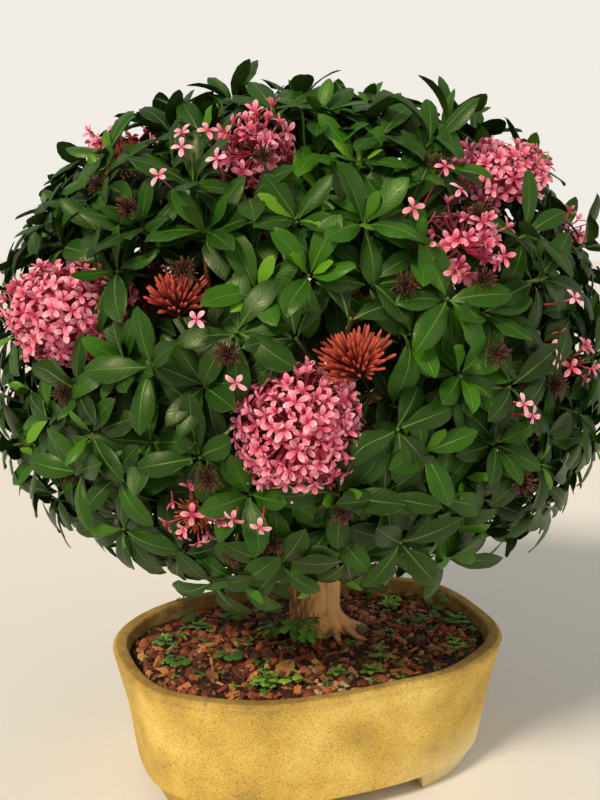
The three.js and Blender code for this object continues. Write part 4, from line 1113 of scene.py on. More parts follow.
class IXORA_OT_soil(Operator):
    """Models the potting soil with its bark chips, crumbs, grit, straws and fallen leaves"""

    bl_idname = "ixora.soil"
    bl_label = "Potting Soil"

    def execute(self, context):
        settings, pot = context.scene.ixora_soil, context.scene.ixora_pot
        bottom = pot.foot_height + pot.floor + 0.3 * MM
        edge = wall_inset(pot, POT_HEIGHT - 18 * MM) + 6 * MM
        low = wall_inset(pot, bottom) + pot.wall + 5 * MM
        rings = [(low + 20 * MM, bottom), (low, bottom), (low - 4 * MM, bottom + 12 * MM), (edge, SOIL_TOP)]
        reach = pot.width / 2 - edge
        rings += [(edge + reach * (1 - (1 - k / 22) ** 1.1), SOIL_TOP) for k in range(1, 22)]
        soil = loft("potting_soil", pot, rings, sides=128)
        stand_in_place(soil, pot)
        self.loosen(soil)
        finish_piece(soil, "soil", "soil", smooth=80, materials=[soil_material(settings)])
        self.strew(settings, soil)
        return {"FINISHED"}

    def loosen(self, soil):
        """Refines the top and heaves it into crumbs."""
        edit_faces(soil, lambda face: face.normal.z > 0.9)
        bpy.ops.mesh.subdivide(number_cuts=2)
        bpy.ops.object.mode_set(mode="OBJECT")
        for vert in soil.data.vertices:
            if vert.co.z > POT_HEIGHT - 9.5 * MM:
                lumps = noise_at(vert.co / (13 * MM)) * 1.6 + noise_at(vert.co / (4.5 * MM)) * 1.5
                vert.co.z = soil_height(vert.co.x, vert.co.y) + (lumps - 0.6) * MM

    def strew(self, settings, soil):
        """Lays chips, crumbs and grit on the soil, most of them lying nearly flat and partly sunk."""
        draw = random.Random(SEEDS["soil"])
        tree = surface_of(soil)
        lumps, chips, crumbs, pebbles = (
            [chip_shape(name, (1.0, wide, high), seed, sphere) for wide, high, seed in forms]
            for name, (sphere, *forms) in BITS.items()
        )
        size = settings.chip_size
        chip_colours = ("#3A2117", "#693A27", settings.chip, settings.bright_chip, "#D2A46A")
        crumb_colours = (settings.dark, "#4A2A1C", "#8A4A2E", "#6E7434")
        kinds = (
            ("bark_lumps", lumps, settings.lumps, size, 1.0, ("#43241A", "#7A3B28", "#A0522F", "#C07A48")),
            ("bark_chips", chips, settings.chips, size, 0.6, chip_colours),
            ("soil_crumbs", crumbs, settings.crumbs, size * 0.42, 1.2, crumb_colours),
            ("grit", pebbles, settings.pebbles, size * 0.62, 0.5, ("#5B4A3C", settings.pebble, "#B4B06A")),
        )
        for name, shapes, number, size, lean, colours in kinds:
            heap = Heap()
            while len(heap.copies) < number:
                x, y = (POT_MIDDLE[k] + draw.uniform(-1, 1) * STREWN for k in (0, 1))
                place = np.array((x, y))
                if name == "grit" and np.linalg.norm(place - POT_MIDDLE[:2] - GRIT_AT) > GRIT_REACH:
                    continue
                if not within_pot(x, y, size * 0.45) or np.linalg.norm(place - TRUNK_FOOT[:2]) < TRUNK_CLEAR:
                    continue
                at, facing = drop(tree, x, y)
                if at is None:
                    continue
                long = size * draw.uniform(0.55, 1.5)
                axis = unit(facing + scatter(draw, lean) * 0.5)
                shape = draw.choice(shapes)
                placed = rigid(shape, at + facing * long * 0.05, axis, draw.uniform(0, TURN), (long,) * 3)
                heap.add(shape, placed, draw=draw.random())
            material = litter_material(name.replace("soil", "broken_bark"), colours, 1.5)
            finish_piece(heap.piece(name), "soil", smooth=35, materials=[material])
        self.litter(settings, tree, draw)

    def litter(self, settings, tree, draw):
        """Dry straws and root ends, thickest round the trunk, and a few fallen leaves."""
        heap = Heap()
        rod = spindle("straw", 5, ROD_RINGS)
        rings = ((0.0, 0), (0.08, 0.14, 1), (0.3, 0.66, 1), (0.55, 1), (0.78, 0.86, 1), (0.94, 0.4, 1))
        leaf = spindle("fallen_leaf", 8, (*rings, (1.0, 0)), two_sided=True)
        while len(heap.copies) < settings.straws:
            at, reach = draw.uniform(0, TURN), abs(draw.gauss(0, 1)) * 52 * MM
            x, y = TRUNK_FOOT[0] + math.cos(at) * reach, TRUNK_FOOT[1] + math.sin(at) * reach
            way = draw.uniform(0, TURN)
            span = draw.uniform(7, 22) * MM
            ends = [(x + math.cos(way) * span * t, y + math.sin(way) * span * t) for t in (-0.5, 0.5)]
            if not all(within_pot(*end, 3 * MM) for end in ends):
                continue
            low, high = (drop(tree, *end)[0] for end in ends)
            rise = UP * draw.uniform(0.5, 3.0) * MM
            bow = scatter(draw, 0.3) + UP * 0.3
            start_way, end_way = unit(high - low + bow * span), unit(high - low - bow * span)
            spine = arch(low + UP * MM, start_way, high + rise, end_way)
            heap.add_stem(rod, spine, draw.uniform(0.3, 0.6) * MM, 0.25 * MM, draw=draw.random())
        for x, y, way, size, shade in FALLEN_LEAVES:
            at, _ = drop(tree, POT_MIDDLE[0] + x * MM, POT_MIDDLE[1] + y * MM)
            side = level(math.radians(way))
            laid = rosette_leaf(at + UP * 3.5 * MM, UP, side, size * MM, size * 0.27 * MM, 0.12, 0.5)
            heap.add_blade(leaf, laid, 0.25 * MM, 0.5, 0.1, 0.8 * MM, x, draw=shade)
        material = litter_material("dry_litter", ("#2A1810", "#54351F", "#7A5230", "#B08048"), 2.5)
        finish_piece(heap.piece("dry_litter"), "soil", smooth=50, materials=[material])


# Fallen leaves: place from the middle of the pot in mm, way in degrees, length in mm, and how pale it is.
FALLEN_LEAVES = (
    (-12, -42, 250, 26, 0.95), (-26, 68, 200, 22, 0.85), (81, 92, 20, 18, 1.0), (104, -28, 160, 15, 0.9),
    (-76, -60, 300, 16, 0.7), (40, -10, 80, 20, 0.45),
)


# ------------------------------------------------------------------ the wood


# The surface roots: azimuth in degrees from the front towards +X, reach past the trunk and thickness in mm.
ROOTS = (
    (-82, 30, 2.6), (-52, 16, 2.0), (24, 18, 2.2), (58, 24, 3.0), (104, 20, 2.4), (150, 17, 2.6),
    (-136, 24, 2.4),
)


class IXORA_OT_trunk(Operator):
    """Models the trunk, its second stem and all the branches, with furrowed bark"""

    bl_idname = "ixora.trunk"
    bl_label = "Trunk and Branches"

    def execute(self, context):
        settings = context.scene.ixora_wood
        mesh = welded("trunk_and_branches")
        data = bpy.data.meshes.new("trunk_with_bark")
        mesh.to_mesh(data)
        mesh.free()
        trunk = put("trunk_with_bark", data)
        apply(trunk, "SUBSURF", levels=1, render_levels=1)
        edit_faces(trunk, lambda face: face.calc_center_median().z < CROWN_MIDDLE[2] - 80 * MM)
        bpy.ops.mesh.subdivide(number_cuts=3, smoothness=1.0)
        bpy.ops.object.mode_set(mode="OBJECT")
        self.furrow(trunk, settings)
        bark = bark_material(settings)
        finish_piece(trunk, "bark", "trunk_and_branches", smooth=80, materials=[bark])
        self.roots(bark)
        return {"FINISHED"}

    def roots(self, bark):
        """Surface roots that flare from the trunk's foot and sink into the soil."""
        heap = Heap()
        rings = ((0.0, 0), (0.05, 0.4), (0.25, 0.85), (0.5, 1), (0.75, 0.8), (0.95, 0.5), (1.0, 0))
        root = spindle("root", 10, rings)
        for way, reach, thick in ROOTS:
            side = np.array((math.sin(math.radians(way)), -math.cos(math.radians(way)), 0.0))
            start = TRUNK_FOOT + side * 17 * MM + UP * (POT_HEIGHT + 3 * MM)
            end = TRUNK_FOOT + side * (20 + reach) * MM
            end[2] = soil_height(end[0], end[1]) - 3 * MM
            curve = arch(start, unit(side - 0.7 * UP), end, unit(side - 0.3 * UP))
            heap.add_stem(root, curve, thick * MM)
        finish_piece(heap.piece("surface_roots"), "bark", smooth=80, materials=[bark])

    def furrow(self, trunk, settings):
        """Long upright furrows and broad bulges, strongest on the thick wood at the foot."""
        trunk.data.update()
        normals = read(trunk.data.vertices, "normal", 3)
        for vert, normal in zip(trunk.data.vertices, normals):
            low = min(max((CROWN_MIDDLE[2] - 60 * MM - vert.co.z) / (120 * MM), 0.0), 1.0)
            at = Vector((vert.co.x, vert.co.y, vert.co.z * 0.22)) / (7 * MM)
            ridges = noise_at(at) + 0.5 * noise_at(at * 2.3)
            bulge = noise_at(vert.co / (26 * MM)) * 2.2 * MM * low
            vert.co += Vector(normal) * ((ridges * settings.furrow + bulge) * low + 0.5 * MM)
            # The foot flares in ridges, most towards the right.
            out = Vector((vert.co.x - TRUNK_FOOT[0], vert.co.y - TRUNK_FOOT[1], 0.0)).normalized()
            near = min(max((POT_HEIGHT + 18 * MM - vert.co.z) / (22 * MM), 0.0), 1.0) ** 2
            ridge = 1.0 + 0.9 * noise_at(out * 2.4) + 0.5 * out.x
            vert.co += out * near * max(ridge, 0.1) * 6.5 * MM
        # Wood left of the trunk's foot, where the second stem stands, is marked for painted shade; the foot
        # is marked to come out darker.
        places = read(trunk.data.vertices, "co", 3) - TRUNK_FOOT
        left_wood_painted_shade = np.clip((-places[:, 0] - 6 * MM) / (10 * MM), 0.0, 1.0)
        foot = np.clip((POT_HEIGHT + 4 * MM - places[:, 2]) / (14 * MM), 0.0, 1.0) * 0.6
        mark(trunk.data, "age", np.maximum(left_wood_painted_shade, foot))


# ------------------------------------------------------------------ leaves and shoots


def rosette_leaf(hub, up, way, length, half, tilt, droop, clear=2.0 * MM):
    """A leaf that leaves its hub one way, rises by its tilt and arches down by its droop."""
    way = unit(way - up * (way @ up))
    at = hub + way * clear
    spine, facing = [at], []
    for k, share_along in enumerate(LEAF_STATIONS):
        lean = tilt - droop * 1.3 * share_along
        facing.append(up * math.cos(lean) - way * math.sin(lean))
        if k:
            middle_share = (share_along + LEAF_STATIONS[k - 1]) / 2
            lean = tilt - droop * 1.3 * middle_share
            step = (share_along - LEAF_STATIONS[k - 1]) * length
            spine.append(spine[-1] + (way * math.cos(lean) + up * math.sin(lean)) * step)
    return {"spine": np.array(spine), "facing": np.array(facing), "half": half}


# A leaf that would go deeper than this into a head's ball is left out.
DEEPEST_CROSSING = 8 * MM
# How far in front of a head its ball goes on, so that no leaf hides it.
OPEN_FRONT = 34 * MM
# How far the filling shoots' hubs keep from a head.
HEAD_CLEAR = 9 * MM


def clearings():
    """Balls round the heads and knots that the leaves keep out of: their middles, radii and ways."""
    middles, radii, ways = [], [], []
    for head in HEADS:
        full = head["radius"] > FULL_HEAD
        lean = SHEAVES.get(head["node"], (head["axis"],))[0]
        middles.append(head["centre"] + unit(np.array(lean)) * head["radius"] * (0.0 if full else 0.25))
        radii.append(head["radius"] * (0.98 if full else np.mean(head["form"])) + 2 * MM)
        ways.append(unit(np.array(lean)))
    for head in PLANT["spent"]:
        middles.append(head["centre"] + head["axis"] * head["radius"] * 0.5)
        radii.append(head["radius"] * 0.7)
        ways.append(head["axis"])
    for azimuth, z in KNOTS:
        place = crown_at(azimuth, z)
        middles.append(place)
        radii.append(9 * MM)
        ways.append(crown_normal(place))
    return np.array(middles), np.array(radii), np.array(ways)


# The rings of a plain round stem.
ROD_RINGS = ((0.0, 0), (0.0, 1), (1 / 3, 1), (2 / 3, 1), (1.0, 1), (1.0, 0))


class Gardener:
    """Grows things into its heap, with draws of its own, and makes a piece of what lies there."""

    def __init__(self, settings, job):
        self.settings = settings
        self.draw = random.Random(SEEDS[job])
        self.rod = spindle("rod", 5, ROD_RINGS)
        self.heap = Heap()

    def deliver(self, name, slot, materials, *nodes, smooth=50):
        if self.heap.copies:
            finish_piece(self.heap.piece(name), slot, *nodes, smooth=smooth, materials=materials)
        self.heap = Heap()


class Grower(Gardener):
    """Grows rosettes of leaves."""

    def __init__(self, settings, job):
        super().__init__(settings, job)
        self.balls = clearings()
        rings = ((0.0, 0), (0.06, 0.1, 1.4), (0.24, 0.56, 1.2), (0.44, 0.9, 1), (0.62, 1), (0.8, 0.8, 1))
        self.leaf = spindle("leaf", 8, (*rings, (0.93, 0.38, 0.8), (1.0, 0)), two_sided=True)
        half = ((0.0, 0), (0.08, 0.14, 1.2), (0.34, 0.76, 1), (0.6, 1), (0.85, 0.7, 1), (1.0, 0))
        self.lower_leaf = spindle("lower_leaf", 6, half, two_sided=True)
        few = ((0.0, 0), (0.1, 0.2, 1), (0.4, 0.88, 1), (0.7, 0.92, 1), (1.0, 0))
        self.plain_leaf = spindle("plain_leaf", 4, few, two_sided=True)

    def lay(self, leaf, tone, shape=None):
        """Lays a leaf, bent aside where it would brush a head, or leaves it out where it would cross it."""
        draw = self.draw
        spine = leaf["spine"].copy()
        middles, radii, ways = self.balls
        for k in (1, 2, 3):
            span = np.linalg.norm(leaf["spine"][k] - leaf["spine"][k - 1])
            away = spine[k] - middles
            above = np.clip(np.sum(away * ways, axis=1), 0.0, OPEN_FRONT)
            away -= above[:, None] * ways
            depths = radii - np.linalg.norm(away, axis=1)
            nearest = int(np.argmax(depths))
            if depths[nearest] > DEEPEST_CROSSING:
                return
            if depths[nearest] > 0:
                outward = unit(away[nearest]) * depths[nearest]
                step = unit(spine[k] + outward - spine[k - 1]) * span
                spine[k:] += spine[k - 1] + step - spine[k]
        leaf = dict(leaf, spine=spine, half=leaf["half"] * draw.uniform(0.94, 1.06))
        settings, shape = self.settings, shape or self.leaf
        fold = settings.fold * draw.uniform(0.4, 1.8)
        ripple = draw.uniform(0.0, 0.7) * MM
        curl = settings.curl * draw.uniform(0.3, 1.6)
        phase = draw.uniform(0, TURN)
        bends = (fold, curl, ripple, phase)
        self.heap.add_blade(shape, leaf, settings.thickness, *bends, draw=draw.random(), tone=tone)

    def whorl(self, hub, up, number, size, tilt, droop, tone, start, shape=None):
        """A ring of like leaves round a hub."""
        draw, settings = self.draw, self.settings
        # Some whorls are more open than others, and those near the top stand up towards the light.
        tilt += 0.08 + 0.22 * math.sin(3 * start) + 0.4 * max(0.0, up[2] - 0.35)
        for i in range(number):
            way = spoke(up, start + math.tau * i / number + draw.uniform(-0.24, 0.24))
            # Leaves on the low side of a sideways hub hang further down.
            sag = max(0.0, -way[2]) * 0.35
            scale = size * draw.uniform(0.86, 1.12)
            length, half = settings.leaf_length * scale, settings.leaf_width / 2 * scale
            lean = tilt + draw.uniform(-0.16, 0.16) - sag
            arch_down = droop * draw.uniform(0.6, 1.3) + sag
            leaf = rosette_leaf(hub, up, way, length, half, lean, arch_down)
            self.lay(leaf, tone + draw.uniform(-0.07, 0.07), shape)

    def twig(self, start, start_way, end, end_way, thick, thin):
        """A twig between two leaf joints, from one thickness to another, in mm."""
        spine = arch(start, start_way, end, end_way)
        self.heap.add_stem(self.rod, spine, thick * MM, thin * MM, 1, self.draw.random())

    def dress(self, hub):
        """The four leaves of the frame, with leaves between and below them and a young whorl on top."""
        draw, up, centre = self.draw, hub["up"], hub["centre"]
        age = draw.uniform(0.04, 0.3) + freshness(centre)
        lift = up * max(0.0, up[2] - 0.35) * 9 * MM
        for leaf in hub["leaves"]:
            raised = leaf["spine"] + np.outer(np.array((0.0, 0.25, 0.62, 1.0)) * draw.uniform(0.5, 1.5), lift)
            self.lay(dict(leaf, spine=raised), age)
        first, second = across(up)
        away = hub["leaves"][0]["spine"][1] - centre
        start = math.atan2(away @ second, away @ first)
        low = centre - up * 3 * MM
        self.whorl(low, up, 4, 0.98, 0.2, 0.6, age - 0.06, start + math.pi / 4)
        lowest = centre - up * 13 * MM
        self.whorl(lowest, up, 4, 0.94, 0.05, 0.7, age - 0.14, start, self.lower_leaf)
        if draw.random() < 0.5:
            young = age + draw.uniform(0.15, 0.6)
            size = draw.uniform(0.34, 0.72)
            self.whorl(centre + up * 1.5 * MM, up, 2, size, 0.95, 0.35, young, start + 0.4)
        else:
            self.whorl(centre + up * 0.5 * MM, up, 3, 0.8, 0.8, 0.4, age + 0.1, start + 0.7)

    def shoot(self, hub, joints, inside):
        """A filling shoot: its twig from the nearest joint, and its whorls of leaves."""
        draw = self.draw
        up = unit(0.55 * crown_normal(hub) + 0.75 * unit(hub - HEART) + 0.2 * UP * draw.random())
        below = hub - up * 40 * MM
        joint = joints[np.argmin(np.linalg.norm(joints - below, axis=1))]
        shaft = unit(hub - joint)
        self.twig(joint, shaft, hub, unit(up + 2 * shaft), 1.5, 1.1)
        start = draw.uniform(0, TURN)
        if inside:
            # The inner shoots deep in the crown get the lowest tone, painted shade.
            self.whorl(hub, up, 6, 1.0, 0.25, 0.6, 0.05, start, self.plain_leaf)
            return
        age = draw.uniform(0.0, 0.28) + freshness(hub)
        self.whorl(hub, up, 4, 0.98, 0.55, 0.6, age, start)
        self.whorl(hub - up * 4 * MM, up, 4, 1.0, 0.2, 0.75, age - 0.06, start + math.pi / 4)
        if draw.random() < 0.4:
            young = age + draw.uniform(0.15, 0.55)
            size = draw.uniform(0.35, 0.7)
            self.whorl(hub + up * 1.5 * MM, up, 2, size, 0.95, 0.3, young, start + 0.4)


class IXORA_OT_sprays(Operator):
    """Models every leafy spray: twigs, full-grown leaves and the bright young leaves at their tips"""

    bl_idname = "ixora.sprays"
    bl_label = "Leafy Sprays"

    def execute(self, context):
        settings, wood = context.scene.ixora_foliage, context.scene.ixora_wood
        materials = [leaf_material(settings), twig_material(wood)]
        grower = Grower(settings, "sprays")
        for spray in PLANT["sprays"]:
            shaft = unit(spray["fork"] - spray["foot"])
            grower.twig(spray["foot"] - shaft * MM, shaft, spray["fork"], shaft, 1.7, 1.5)
            for hub in spray["hubs"]:
                grower.twig(spray["fork"] - shaft * MM, shaft, hub["centre"], hub["up"], 1.5, 1.1)
                grower.dress(hub)
            name = spray["node"].replace("leafy_spray", "leaves_and_twigs")
            grower.deliver(name, "leaf", materials, spray["node"], smooth=40)
        return {"FINISHED"}


# Where the newest shoots stand: azimuth in degrees and height in mm.
NEWEST = ((-8, 412), (24, 352), (2, 470))
# Rosettes that hang from the crown's lower edge in front, and shoots that have outgrown it at the top and the
# sides: azimuth, height, and depth under the crown.
HANGING = (
    (-23, 212, 3), (-18, 199, -4), (-12, 203, -3), (-4, 212, 3), (8, 213, 4), (17, 224, 6), (-33, 226, 6),
)
OUTGROWN = (
    (34, 472, 8), (-48, 448, 9), (-64, 416, 8), (-78, 372, 5),
    (56, 446, 5), (76, 402, 5), (84, 350, 5), (72, 300, 5), (-70, 300, 4), (118, 462, 4), (158, 482, 5),
    (-148, 478, 5), (-112, 452, 3), (104, 404, 3), (-138, 396, 2), (175, 410, 2),
)


def freshness(place):
    """How much lighter the leaves are near the newest shoots."""
    away = [np.linalg.norm(crown_at(azimuth, z) - place) for azimuth, z in NEWEST]
    return 0.24 * math.exp(-((min(away) / (42 * MM)) ** 2))


def clear_of_heads(hub):
    """Whether a rosette would stand clear of the flower heads."""
    return all(np.linalg.norm(hub - head["centre"]) >= head["radius"] + HEAD_CLEAR for head in HEADS)


# How many places are tried for hubs near the crown's surface and inside it, and how deep the inner ones lie.
OUTER_TRIES, INNER_TRIES = 9000, 4000
INNER_DEPTHS = (58 * MM, 84 * MM)


class IXORA_OT_filling(Operator):
    """Models the shoots between the sprays and inside the crown, so that it is as dense as the plant's"""

    bl_idname = "ixora.filling"
    bl_label = "Filling Shoots"

    def execute(self, context):
        settings = context.scene.ixora_foliage
        materials = made("waxy_evergreen_leaf", "young_shoot")
        grower = Grower(settings, "filling")
        draw = grower.draw
        hubs = [hub["centre"] for spray in PLANT["sprays"] for hub in spray["hubs"]]
        joints = self.joints()
        outer = []
        for azimuth, z, depth in HANGING + OUTGROWN:
            place = crown_at(azimuth, z)
            hub = place - crown_normal(place) * depth * MM
            if clear_of_heads(hub):
                outer.append(hub)
        near, deep = settings.depth * 0.35, settings.depth * 1.7
        outer += self.places(draw, OUTER_TRIES, hubs + outer, settings.spacing, near, deep)
        inner = self.places(draw, INNER_TRIES, [], settings.inner_spacing, *INNER_DEPTHS)
        for kind, places in (("outer", outer), ("inner", inner)):
            heaps = [Heap() for _ in range(4)]
            for hub in places:
                quarter = int((math.atan2(hub[1], hub[0]) + math.pi) / (math.pi / 2)) % 4
                grower.heap = heaps[quarter]
                grower.shoot(hub, joints, kind == "inner")
            for quarter, heap in enumerate(heaps):
                grower.heap = heap
                grower.deliver(f"filling_shoots_{kind}_{quarter + 1}", "leaf", materials, smooth=40)
        return {"FINISHED"}

    def joints(self):
        """Points on the branches and twigs that a filling shoot may spring from."""
        mesh = welded("trunk_and_branches")
        points = [np.array(v.co) for v in mesh.verts if v.co.z > HEART[2] - 50 * MM]
        for spray in PLANT["sprays"]:
            points += [spray["foot"] + (spray["fork"] - spray["foot"]) * t for t in (0.1, 0.4, 0.7)]
        return np.array(points)

    def places(self, draw, tries, taken, spacing, least, most):
        """Places for hubs at a depth under the crown, apart from each other and from the heads."""
        taken, found = list(taken), []
        for place in crown_places(tries, draw):
            normal = crown_normal(place)
            hub = place - normal * draw.uniform(least, most)
            if not clear_of_heads(hub):
                continue
            if taken and np.min(np.linalg.norm(np.array(taken) - hub, axis=1)) < spacing:
                continue
            taken.append(hub)
            found.append(hub)
        return found


# ------------------------------------------------------------------ flowers


def cap_ways(axis, number, spread, draw):
    """Ways spread evenly over a cap round an axis."""
    ways = []
    for i in range(number):
        c = 1 - (1 - math.cos(spread)) * (i + 0.5) / number
        s = math.sqrt(max(0.0, 1 - c * c))
        way = axis * c + spoke(axis, i * GOLDEN_ANGLE) * s
        ways.append(unit(way + scatter(draw, 0.035)))
    return ways


class Florist(Gardener):
    """Grows florets, buds and dry stalks."""

    def __init__(self, settings, job):
        super().__init__(settings, job)
        petal = ((0.0, 0), (0.1, 0.3, 1), (0.38, 0.84, 1), (0.66, 1), (0.87, 0.66, 1), (1.0, 0))
        self.petal = spindle("petal", 4, petal)
        bud = ((0.0, 0), (0.02, 0.3), (0.62, 0.38), (0.74, 0.92), (0.95, 0.9), (1.0, 0))
        self.bud = spindle("bud", 6, bud)
        self.tube = spindle("tube", 3, ROD_RINGS)
        self.stalk = spindle("stalk", 4, ((0.0, 0), (0.02, 0.35), (0.7, 0.4), (0.88, 1), (1.0, 0)))

    def carry(self, head):
        """The green stalk that carries a head."""
        axis = unit(head["centre"] - head["foot"])
        spine = arch(head["foot"], axis, head["centre"] - head["axis"] * 3 * MM, head["axis"])
        self.heap.add_stem(self.rod, spine, 1.5 * MM, 1.3 * MM, 1, 0.8)

    def floret(self, base, tip, way, scale, painted_depth_shade=0.0, flat=False):
        """Four pointed petals at the end of a slender tube, with a small eye in the middle."""
        settings, draw = self.settings, self.draw
        self.heap.add_stem(self.tube, arch(base, way, tip, way), settings.tube, draw=0.1, tone=0.9)
        spin = draw.uniform(0, TURN)
        # The petals of an open floret lie flat, and those of a young or an old one stand up.
        tip_up = draw.choice((draw.uniform(0.05, 0.5), draw.uniform(0.4, 0.9), draw.uniform(0.7, 1.25)))
        if flat:
            tip_up = draw.uniform(0.0, 0.3)
        for i in range(4):
            out = spoke(way, spin + i * math.pi / 2 + draw.uniform(-0.1, 0.1))
            length = settings.petal * scale * draw.uniform(0.92, 1.08)
            rise = tip_up + draw.uniform(-0.25, 0.25)
            bend = draw.uniform(0.1, 0.6)
            leaf = rosette_leaf(tip, way, out, length, settings.petal_width / 2 * scale, rise, bend, 0.1 * MM)
            self.heap.add_blade(self.petal, leaf, 0.25 * MM, 0.28, draw=draw.random(), tone=painted_depth_shade)
        eye = np.stack([tip - way * MM + way * t * 2.4 * MM for t in STEM_STATIONS])
        self.heap.add_stem(self.tube, eye, 0.6 * MM, 0.35 * MM, draw=0.2, tone=1.0)

    def club(self, shape, base, tip, bend, thick, material=0, tone=0.0):
        """A slender bud that swells towards its tip, or a dry stalk with its knob."""
        spine = arch(base, unit(tip - base + bend), tip, unit(tip - base))
        self.heap.add_stem(shape, spine, thick, None, material, self.draw.random(), tone)

    def fill(self, head, ways, least, most, painted_depth_shade=0.0):
        """Florets that end at between two shares of the head's radius."""
        draw = self.draw
        for way in ways:
            tip = head["centre"] + way * head["form"] * head["radius"] * draw.uniform(least, most)
            base = head["centre"] + way * 5 * MM
            facing = unit(way + scatter(draw, 0.24))
            scale = draw.uniform(0.86, 1.08)
            self.floret(base, tip, facing, scale, painted_depth_shade + draw.uniform(0.0, 0.35))

    def loosen(self, head):
        """A head past its best: fewer florets, in a few tiers, round a tuft of dry stalks."""
        draw = self.draw
        rounds, stalks, rust = LOOSE_HEADS.get(head["node"], (2, 40, 0.2))
        ways = [unit(out + scatter(draw, 0.12)) for out in head["outs"]]
        self.fill(head, ways, 0.72, 1.05)
        # Each deeper tier gets more painted shade.
        for tier in range(1, rounds):
            ways = [unit(out + scatter(draw, 0.28)) for out in head["outs"]]
            self.fill(head, ways, 0.72 - 0.1 * tier, 0.98 - 0.1 * tier, 0.1 * tier)
        for _ in range(stalks):
            way = unit(draw.choice(ways) + scatter(draw, 0.35))
            tip = head["centre"] + way * head["radius"] * draw.uniform(0.35, 0.72)
            bend = scatter(draw, 0.5)
            base = head["centre"] + way * 3 * MM
            self.club(self.stalk, base, tip, bend, draw.uniform(0.45, 0.8) * MM, 2, rust)

    def knot(self, centre, axis, radius):
        """A dense tuft of dry stalks, each with its small knob."""
        draw = self.draw
        for way in cap_ways(axis, self.settings.knot_stalks, 1.85, draw):
            tip = centre + way * radius * draw.uniform(0.45, 1.0)
            bend = scatter(draw, 0.8)
            thick = draw.uniform(0.4, 0.7) * MM
            self.club(self.stalk, centre - axis * MM, tip, bend, thick, 0, -0.02)


class IXORA_OT_flowers(Operator):
    """Models the pink heads: rounded heads of many florets, and loose ones with a few"""

    bl_idname = "ixora.flowers"
    bl_label = "Flower Heads"

    def execute(self, context):
        settings = context.scene.ixora_flowers
        materials = [petal_material(settings), *made("young_shoot"), spent_material(settings)]
        florist = Florist(settings, "flowers")
        for head in PLANT["flowers"]:
            florist.carry(head)
            widest = max(math.acos(np.clip(head["axis"] @ out, -1, 1)) for out in head["outs"])
            spread = min(widest + 0.12, head["spread"])
            if head["radius"] > FULL_HEAD:
                area = 2 * math.pi * head["radius"] ** 2 * (1 - math.cos(spread))
                number = int(area / (0.88 * settings.spacing**2))
                # The inner tier lies deeper in the head and gets painted shade.
                for many, *reach in ((number, 0.87, 1.04), (number // 3, 0.72, 0.82, 0.5)):
                    florist.fill(head, cap_ways(head["axis"], many, spread, florist.draw), *reach)
            else:
                florist.loosen(head)
            name = head["node"].replace("flower_head", "pink_florets")
            florist.deliver(name, "petal", materials, head["node"])
        return {"FINISHED"}


# How many rounds of florets a loose head still has, how many dry stalks, and how rusty these are.
LOOSE_HEADS = {
    "flower_head_right": (3, 16, 0.2),
    "flower_head_top": (4, 40, 0.1),
    "flower_head_top_left": (2, 110, 0.5),
    "flower_head_low_left": (1, 120, 0.4),
    "flower_head_right_edge": (2, 30, 0.3),
    "flower_head_right_low": (1, 40, 0.2),
}

# Single florets that stand between the heads: azimuth in degrees and height in mm.
SINGLES = (
    (-9, 331), (-15, 364), (-26, 439), (18, 422), (27, 445), (28, 432), (-27, 466), (-24, 455), (-16, 449),
    (-21, 467), (47, 370), (42, 336), (34, 313), (36, 305), (-10, 254), (-6, 250),
)


class IXORA_OT_singles(Operator):
    """Models the single florets that stand on long tubes between the heads"""

    bl_idname = "ixora.singles"
    bl_label = "Single Florets"

    def execute(self, context):
        settings = context.scene.ixora_flowers
        florist = Florist(settings, "singles")
        draw = florist.draw
        for azimuth, z in SINGLES:
            place = crown_at(azimuth, z)
            normal = crown_normal(place)
            root = place - normal * 30 * MM + scatter(draw, 4 * MM)
            way = unit(normal + scatter(draw, 0.25))
            tip = place + normal * draw.uniform(3, 9) * MM
            florist.floret(root, tip, way, 0.92, draw.uniform(-0.5, 0.0), flat=True)
        florist.deliver("single_florets", "petal", made("soft_pink_petal"))
        return {"FINISHED"}


# Which way a sheaf of buds leans, how many buds its outer tier has, and how far it spreads.
SHEAVES = {
    "bud_head_centre": ((-0.26, -0.5, 0.82), 84, 1.0),
    "bud_head_left": ((0.05, -0.5, 0.85), 44, 1.0),
}


class IXORA_OT_buds(Operator):
    """Models the sheaves of slender unopened buds"""

    bl_idname = "ixora.buds"
    bl_label = "Bud Heads"

    def execute(self, context):
        settings = context.scene.ixora_flowers
        materials = [bud_material(settings), *made("young_shoot")]
        florist = Florist(settings, "buds")
        draw = florist.draw
        for head in PLANT["buds"]:
            florist.carry(head)
            lean, number, spread = SHEAVES.get(head["node"], ((0.0, 0.6, 0.8), 70, 1.0))
            sheaf = unit(np.array(lean))
            for tier, part in ((1.0, 1.0), (0.82, 0.5)):
                for way in cap_ways(sheaf, int(number * part), spread, draw):
                    reach = head["radius"] * tier * draw.uniform(0.88, 1.1)
                    tip = head["centre"] + way * head["form"] * reach
                    base = head["centre"] + way * 2 * MM - sheaf * 3 * MM
                    florist.club(florist.bud, base, tip, sheaf * 0.6, draw.uniform(0.75, 1.05) * MM)
            florist.deliver(f"coral_{head['node']}", "bud", materials, head["node"])
        return {"FINISHED"}


# Where the small dry knots sit on the crown: azimuth in degrees from the front towards +X, and height in mm.
KNOTS = (
    (-19, 392), (-33, 427), (-11, 346), (-40, 316), (-14, 273), (-5, 230), (-12, 218), (6, 252), (16, 384),
    (30, 385), (29, 453), (33, 423), (31, 343), (44, 319), (38, 259), (-45, 442), (-8, 458), (100, 390),
    (150, 320), (-110, 300), (-160, 430), (-95, 420),
)


